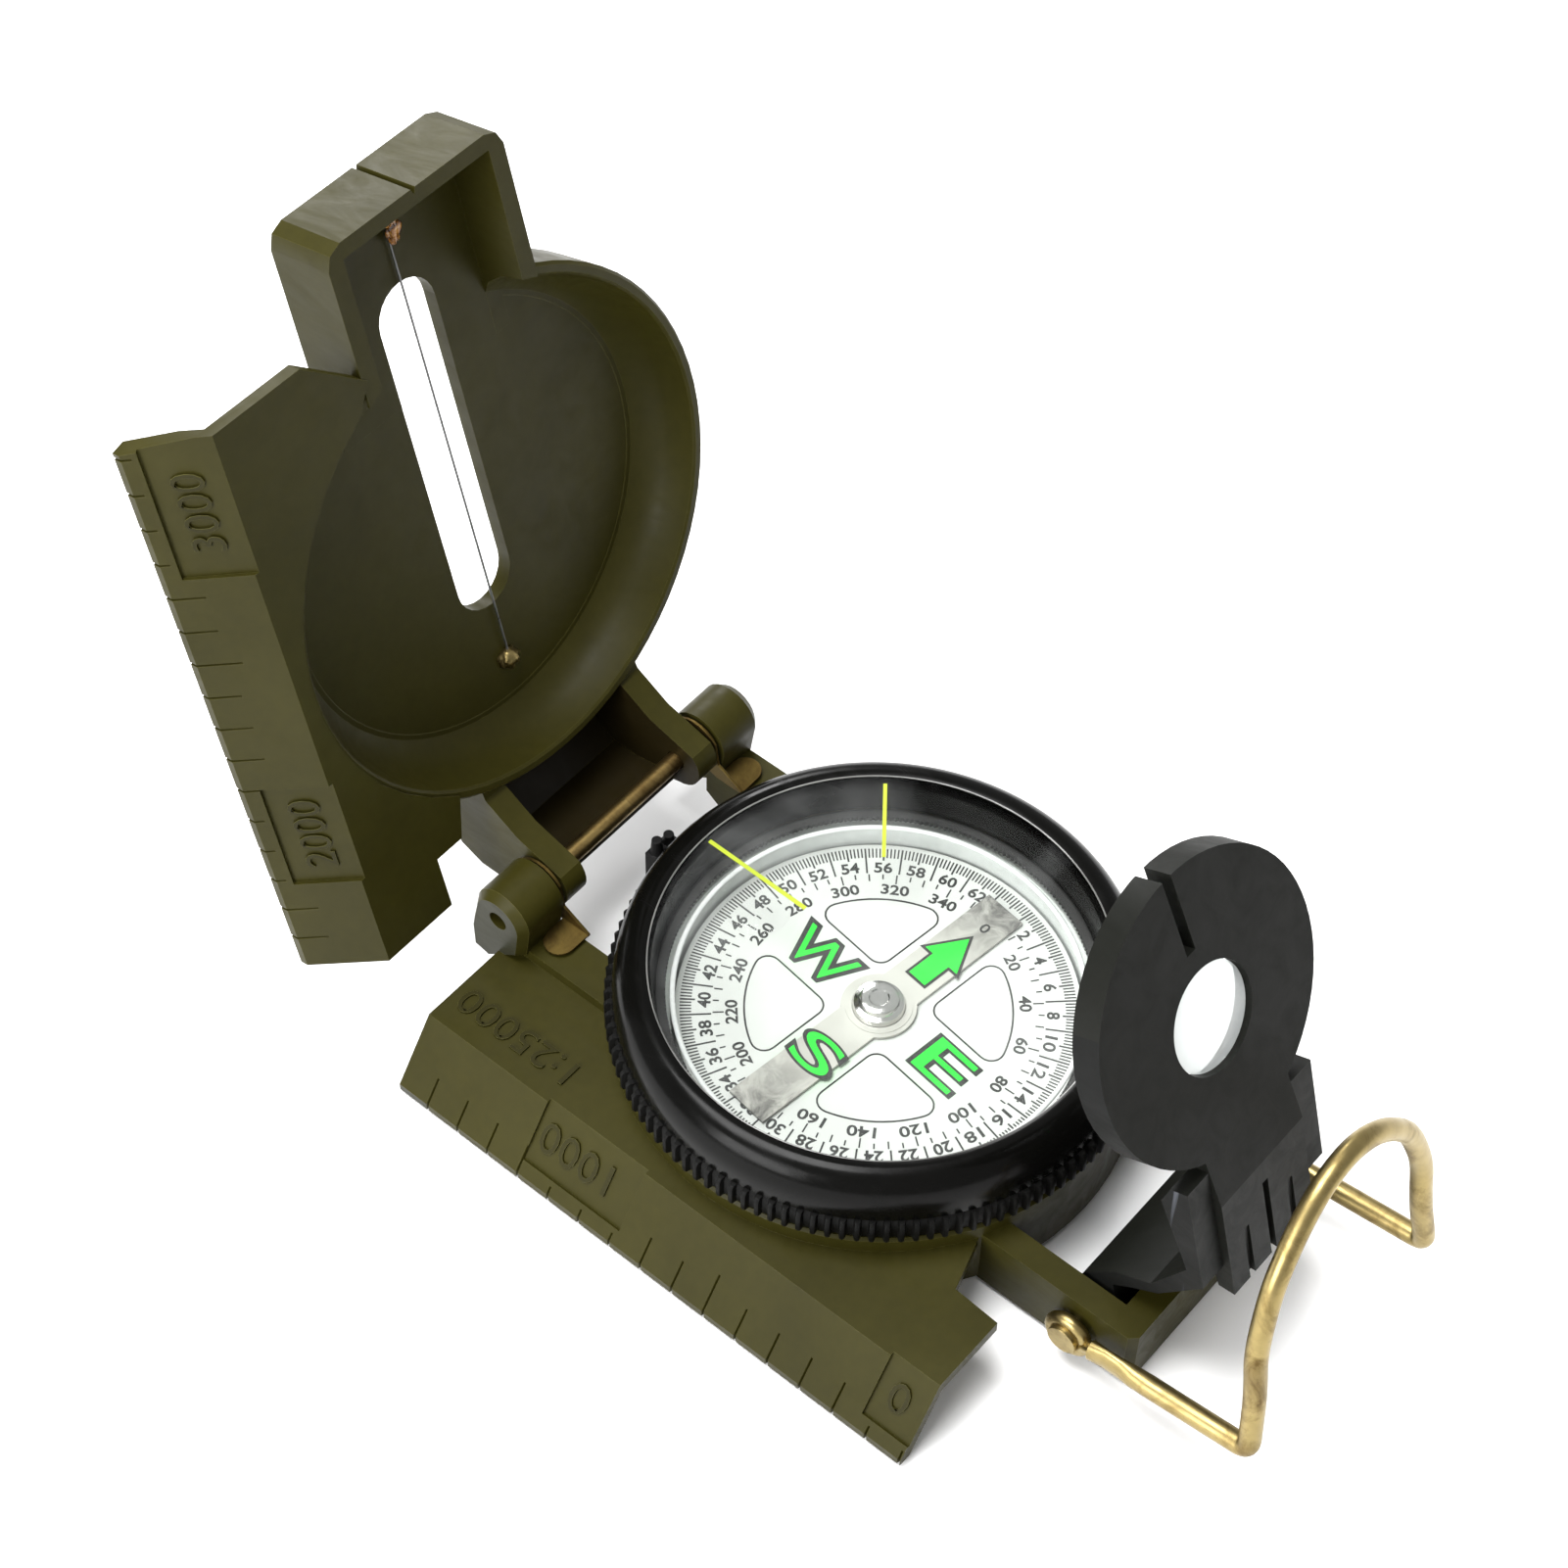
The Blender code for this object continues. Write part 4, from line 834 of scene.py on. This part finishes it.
def dial_letters():
    ink = bmesh.new()
    green = bmesh.new()
    z = BAR_TOP + 0.02
    for body, east, north, width, height in (
        ("W", -8.3, 0.05, 7.2, 4.3), ("E", 9.25, 0.1, 5.1, 4.4), ("S", 0.15, -8.4, 4.7, 4.1)
    ):
        level = z if body == "S" else CARD_TOP + 0.02
        merge(ink, glyphs(body, width, height, 0.03, dial_place(east, north, level), swell=0.5, resolution=8))
        above = dial_place(east, north, level + 0.02)
        merge(green, glyphs(body, width, height, 0.05, above, swell=-0.02, resolution=8))
    arrow = [(-0.9, 5.0), (1.3, 5.0), (1.3, 8.3), (2.45, 8.3), (0.25, 12.2), (-2.0, 8.3), (-0.9, 8.3)]
    slab(green, arrow, z + 0.02, z + 0.045, dial_place())
    grown = []
    count = len(arrow)
    for index, (x, y) in enumerate(arrow):
        before, after = Vector(arrow[index - 1]), Vector(arrow[(index + 1) % count])
        here = Vector((x, y))
        first, second = (here - before).normalized(), (after - here).normalized()
        normal = Vector((first.y, -first.x)) + Vector((second.y, -second.x))
        scale = 0.3 * 2 / max(normal.length_squared, 0.4)
        grown.append(tuple(here + normal * scale))
    slab(ink, grown, z, z + 0.02, dial_place())
    merge(ink, glyphs("0", 0.85, 1.15, PRINT_T, dial_place(0.35, 14.3, BAR_TOP + 0.01), swell=0.03))
    piece(from_bmesh("letter_outlines", ink, INK, normals=False), "dial", "dial_card")
    piece(from_bmesh("luminous_letters", green, LUME, normals=False), "dial", "dial_card")
    for sign_east in (-1, 1):
        for sign_north in (-1, 1):
            points = [(east, north, 0.0) for east, north in window_outline(sign_east, sign_north)]
            name = "window_line_%s%s" % ("s" if sign_north < 0 else "n", "w" if sign_east < 0 else "e")
            place = dial_place(0, 0, CARD_TOP)
            line = curve_piece(name, points, 0.1, INK, closed=True, resolution=1, place=place)
            piece(line, "dial", "dial_card")


def dial():
    under = CARD_TOP - 0.3
    profile = [(CARD_R, CARD_TOP), (CARD_R, under), (1.2, under), (1.2, CARD_TOP)]
    card = turned("dial_card_skin", profile, CARD)
    piece(card, "dial", "dial_card", "dial_card")
    bar = tidy_copy("magnet_bar", BAR)
    piece(bevel(bar, 0.06), "dial", "magnet_metal", "magnet_bar")
    bottom = BAR_TOP + 0.08
    profile = [(0.0, HUB_TOP - 0.12), (0.9, HUB_TOP - 0.12), (1.05, HUB_TOP), (1.75, HUB_TOP)]
    profile += [(1.95, HUB_TOP - 0.12), (2.0, HUB_TOP - 0.45), (2.05, HUB_TOP - 0.6), (2.5, HUB_TOP - 0.75)]
    profile += [(2.65, bottom), (0.8, bottom), (0.8, HUB_TOP - 0.4), (0.0, HUB_TOP - 0.4)]
    piece(turned("hub_cap_skin", profile, CHROME, sides=64), "dial", "hub_metal", "hub_cap")
    raised = BAR_TOP + 0.06
    washer = [(3.35, raised), (3.35, BAR_TOP), (2.72, BAR_TOP), (2.72, raised)]
    ring = turned("hub_washer", washer, BAR, sides=64)
    piece(ring, "dial", "magnet_metal")
    piece(tidy_copy("pivot_post", CHROME), "base", "pivot_steel", "pivot_post")
    dial_print()
    dial_letters()


# ---------------------------------------------------------------- cover

COVER = Matrix.Rotation(math.radians(COVER_OPEN), 4, "X")
COVER.translation = Vector(HINGE) * MM


def cover():
    skin = tidy_copy("cover_body", OLIVE, OLIVE_EDGE_HIGHLIGHT, APRON_SHADE)
    cutter = tick_cutter("cover_ticks", 15, 31, ((18, 20), (28, 31)), COVER_EDGE_H, COVER_DECK_H, HINGE[1])
    cutter.data.transform(COVER)
    carve(skin, cutter)
    back = COVER.inverted()
    # Faces of the hinge apron take slot 2, the dark brown of the painted shade under the hinge.
    for face in skin.data.polygons:
        spot = (back @ face.center) / MM
        beyond_dish = math.hypot(spot.x, spot.y - HINGE[1]) > 27.35
        if abs(spot.x) < 8.8 and spot.y < 9.0 and spot.z > -12.8 and beyond_dish:
            face.material_index = 2
    # The rounded edges take slot 1, the lighter olive of the painted edge highlight.
    bevel(shade(skin), 0.3, 2, edge_highlight_slot=1)
    piece(skin, "cover", "olive_plastic", "cover_body")
    bm = bmesh.new()
    ruler_number(bm, "2000", 18.2, 8.8, 3.2, COVER_EDGE_H, COVER_DECK_H)
    ruler_number(bm, "3000", 57.9, 8.8, 3.2, COVER_EDGE_H, COVER_DECK_H)
    bmesh.ops.transform(bm, matrix=COVER, verts=bm.verts)
    # The figures' rounded edges take the painted edge highlight.
    figures = bevel(from_bmesh("cover_figures", bm, FIGURE, OLIVE_EDGE_HIGHLIGHT), 0.07, 1, 40, 1)
    piece(figures, "cover", "olive_plastic")
    piece(tidy_copy("sighting_wire", WIRE), "cover", "wire_steel", "sighting_wire")
    low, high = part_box("wire_anchor")
    anchor_blob([(a + b) / 2 / MM for a, b in zip(low, high)])
    tack()


def anchor_blob(middle):
    """Lump of set resin over the wire's upper end, with a run down the floor."""
    bm = bmesh.new()
    lumps = (((0.0, 0.0, 0.0), 1.6, 1.0), ((0.35, -0.4, -2.3), 0.8, 2.0), ((-0.2, 0.2, 1.5), 1.1, 1.2))
    for offset, size, squash in lumps:
        lump = bmesh.new()
        bmesh.ops.create_icosphere(lump, subdivisions=4, radius=size)
        for vert in lump.verts:
            shift = noise.noise(vert.co * 1.7 + Vector(offset) * 3.0) * 0.35
            shift += noise.noise(vert.co * 4.0) * 0.12
            spread = vert.co * (1.0 + shift)
            spread = Vector((spread.x, spread.y * 0.62, spread.z * squash))
            vert.co = (Vector(middle) + Vector(offset) + spread) * MM
        merge(bm, lump)
    piece(from_bmesh("wire_resin", bm, RESIN, degrees=180), "cover", "anchor_resin", "wire_anchor")


def tack():
    low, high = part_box("wire_tack")
    middle = [(a + b) / 2 / MM for a, b in zip(low, high)]
    bm = bmesh.new()
    bmesh.ops.create_icosphere(bm, subdivisions=3, radius=1.2)
    for vert in bm.verts:
        vert.co *= 1.0 + noise.noise(vert.co * 2.3) * 0.4
        vert.co = (Vector(middle) + Vector((vert.co.x, vert.co.y * 0.8, vert.co.z))) * MM
    piece(from_bmesh("wire_tack_skin", bm, LOOP, degrees=180), "cover", "tack_brass", "wire_tack")


# ---------------------------------------------------------------- rear sight and thumb loop

SIGHT_LEAN = 0.4
SIGHT_TILT = -JOINTS["rear_sight_hinge"]["range_deg"][0] + SIGHT_LEAN
SIGHT = Matrix.Rotation(math.radians(SIGHT_TILT), 4, "X")
SIGHT.translation = Vector(PIVOT) * MM
LENS_Y = 33.97
LENS_R = 5.25
SIGHT_FACE = 18.02


def rear_sight():
    skin = tidy_copy("lens_bracket", CHARCOAL, CHARCOAL_EDGE_HIGHLIGHT, CHARCOAL_WORN)
    place = SIGHT @ Matrix.Translation((0.0, LENS_Y * MM, 0.0))
    mouth = turned(
        "lens_mouth",
        [(LENS_R + 0.12, SIGHT_FACE + 1.0), (LENS_R + 0.12, SIGHT_FACE - 1.3), (7.2, SIGHT_FACE - 3.6),
         (0.0, SIGHT_FACE - 3.6), (0.0, SIGHT_FACE + 1.0)],
        CHARCOAL, sides=64,
    )
    mouth.data.transform(place)
    carve(skin, mouth)
    for face in skin.data.polygons:
        if abs(face.center.x) > 9.3 * MM and abs(face.normal.x) > 0.9:
            face.material_index = 2
    # The rounded edges take slot 1, the lighter charcoal of the painted edge highlight.
    bevel(shade(skin), 0.4, 3, edge_highlight_slot=1)
    piece(skin, "rear_sight", "sight_plastic", "lens_bracket")
    top = SIGHT_FACE - 0.15
    lens = turned(
        "lens_skin",
        [(0.0, top), (1.8, top - 0.05), (3.6, top - 0.22), (LENS_R, top - 0.5), (LENS_R, top - 0.9),
         (3.6, top - 1.12), (1.8, top - 1.27), (0.0, top - 1.32)],
        LENS, sides=64,
    )
    lens.data.transform(place)
    piece(lens, "rear_sight", "lens_glass", "sight_lens")


def loop_path():
    corner = (14.4, -55.2, 7.5)
    root = (14.4, PIVOT[1] - 3.0, PIVOT[2] + 0.8)
    points = []
    for step in range(11):
        share = step / 10
        points.append(tuple(root[axis] + (corner[axis] - root[axis]) * share * 0.93 for axis in range(3)))
    arch = ((13.9, 11.0), (13.5, 14.0), (13.3, 17.3), (13.2, 20.5), (12.75, 23.0), (12.0, 25.4), (11.2, 27.5),
            (10.1, 29.6), (8.3, 31.9), (6.4, 33.8), (4.3, 35.3), (2.2, 36.2), (0.0, 36.5))
    arch = [(x, 11.0 + (z - 11.0) * 0.95) for x, z in arch]
    start = Vector(points[-1])
    bend = Vector(corner)
    first = Vector((arch[0][0], corner[1] + 0.15 * (arch[0][1] - corner[2]), arch[0][1]))
    leave = bend + (first - bend) * 0.4
    for step in range(1, 9):
        share = step / 8
        points.append(tuple(start * (1 - share) ** 2 + bend * (2 * share * (1 - share)) + leave * share**2))
    knots = [Vector((x, corner[1] + 0.15 * (z - corner[2]), z)) for x, z in arch]
    mirror = [Vector((-k.x, k.y, k.z)) for k in reversed(knots[:-1])]
    chain = [leave] + knots + mirror
    for index in range(1, len(knots) + 1):
        before, here, after = chain[index - 1], chain[index], chain[index + 1]
        ahead = chain[index + 2] if index + 2 < len(chain) else after
        steps = 1 if index == len(knots) else 4
        for step in range(steps):
            points.append(tuple(catmull(before, here, after, ahead, step / 4)))
    return points


def catmull(a, b, c, d, t):
    """A point at share t between b and c, on the smooth curve through a, b, c and d."""
    square = (2 * a - 5 * b + 4 * c - d) * t * t
    return 0.5 * ((2 * b) + (c - a) * t + square + (3 * b - a - 3 * c + d) * t**3)


def thumb_loop():
    right = loop_path()
    left = [(-x, y, z) for x, y, z in reversed(right[:-1])]
    wire = curve_piece("loop_wire", right + left, 1.1, LOOP, resolution=6)
    for vert in wire.data.vertices:
        y = vert.co.y / MM
        side = math.copysign(14.4, vert.co.x)
        share = max(0.0, 1.0 - abs(y + 39.6) / 3.6)
        press = share * share * (3 - 2 * share)
        vert.co.x = (side + (vert.co.x / MM - side) * (1 - 0.45 * press)) * MM
        axis_z = PIVOT[2] + 0.8 + (PIVOT[1] - 3.0 - y) * 0.13
        if y > -46:
            vert.co.z = (axis_z + (vert.co.z / MM - axis_z) * (1 + 0.35 * press)) * MM
    piece(wire, "loop", "loop_brass", "thumb_loop")
    for side, sign in (("left", -1), ("right", 1)):
        points = []
        steps = 30
        for step in range(steps + 1):
            share = step / steps
            angle = math.radians(200 - 385 * share)
            radius = 1.85 + 0.25 * max(0.0, share - 0.8) * 5
            side_x = sign * (13.85 + 0.2 * share)
            points.append((side_x, PIVOT[1] + radius * math.cos(angle), PIVOT[2] + radius * math.sin(angle)))
        end = (sign * 14.3, PIVOT[1] - 3.6, PIVOT[2] + 0.9)
        points.append(tuple((a + b) / 2 for a, b in zip(points[-1], end)))
        points.append(end)
        eye = curve_piece("loop_eye_" + side, points, 0.72, LOOP, resolution=4)
        piece(eye, "loop", "loop_brass")


# ---------------------------------------------------------------- stage, light and camera

def stage():
    floor_look = Look("floor", (0.93, 0.93, 0.93), 0.7)
    floor_look.colour(floor_look.grey(floor_look.noise(2.0, 2.0), [(0.3, 0.925), (0.7, 0.945)]))
    bm = bmesh.new()
    bmesh.ops.create_grid(bm, x_segments=1, y_segments=1, size=3.0)
    floor = from_bmesh("floor", bm, floor_look)
    floor.location.z = -0.0002
    world = bpy.context.scene.world or bpy.data.worlds.new("studio")
    bpy.context.scene.world = world
    world.use_nodes = True
    background = world.node_tree.nodes["Background"]
    background.inputs["Color"].default_value = (1.0, 1.0, 1.0, 1.0)
    background.inputs["Strength"].default_value = 0.55
    add_light("key", (-0.1, 0.15, 0.68), 0.35, 7.0)
    add_light("fill", (-0.6, 0.05, 0.28), 0.35, 4.5)
    add_light("rim", (0.42, 0.6, 0.45), 0.28, 5.0)


def add_light(name, place, size, power):
    data = bpy.data.lights.new(name, "AREA")
    data.shape = "SQUARE"
    data.size = size
    data.energy = power
    obj = bpy.data.objects.new(name, data)
    bpy.context.scene.collection.objects.link(obj)
    obj.location = place
    aim = Vector((0.0, 0.0, 0.02)) - Vector(place)
    obj.rotation_euler = aim.to_track_quat("-Z", "Y").to_euler()


def camera():
    data = bpy.data.cameras.new("camera")
    data.lens = LENS_MM
    data.sensor_width = 36.0
    data.clip_start = 0.01
    obj = bpy.data.objects.new("camera", data)
    bpy.context.scene.collection.objects.link(obj)
    right, up = Vector(CAMERA_RIGHT).normalized(), Vector(CAMERA_UP).normalized()
    back = right.cross(up)
    turn = Matrix((right, up, back)).transposed().to_4x4()
    obj.matrix_world = Matrix.Translation(Vector(CAMERA_AT) * MM) @ turn
    bpy.context.scene.camera = obj
    bpy.context.scene.view_settings.view_transform = "Standard"
    bpy.context.scene.cycles.transparent_max_bounces = 24


base()
small_base_parts()
bezel()
capsule()
dial()
cover()
rear_sight()
thumb_loop()
stage()
camera()
bpy.context.view_layer.update()
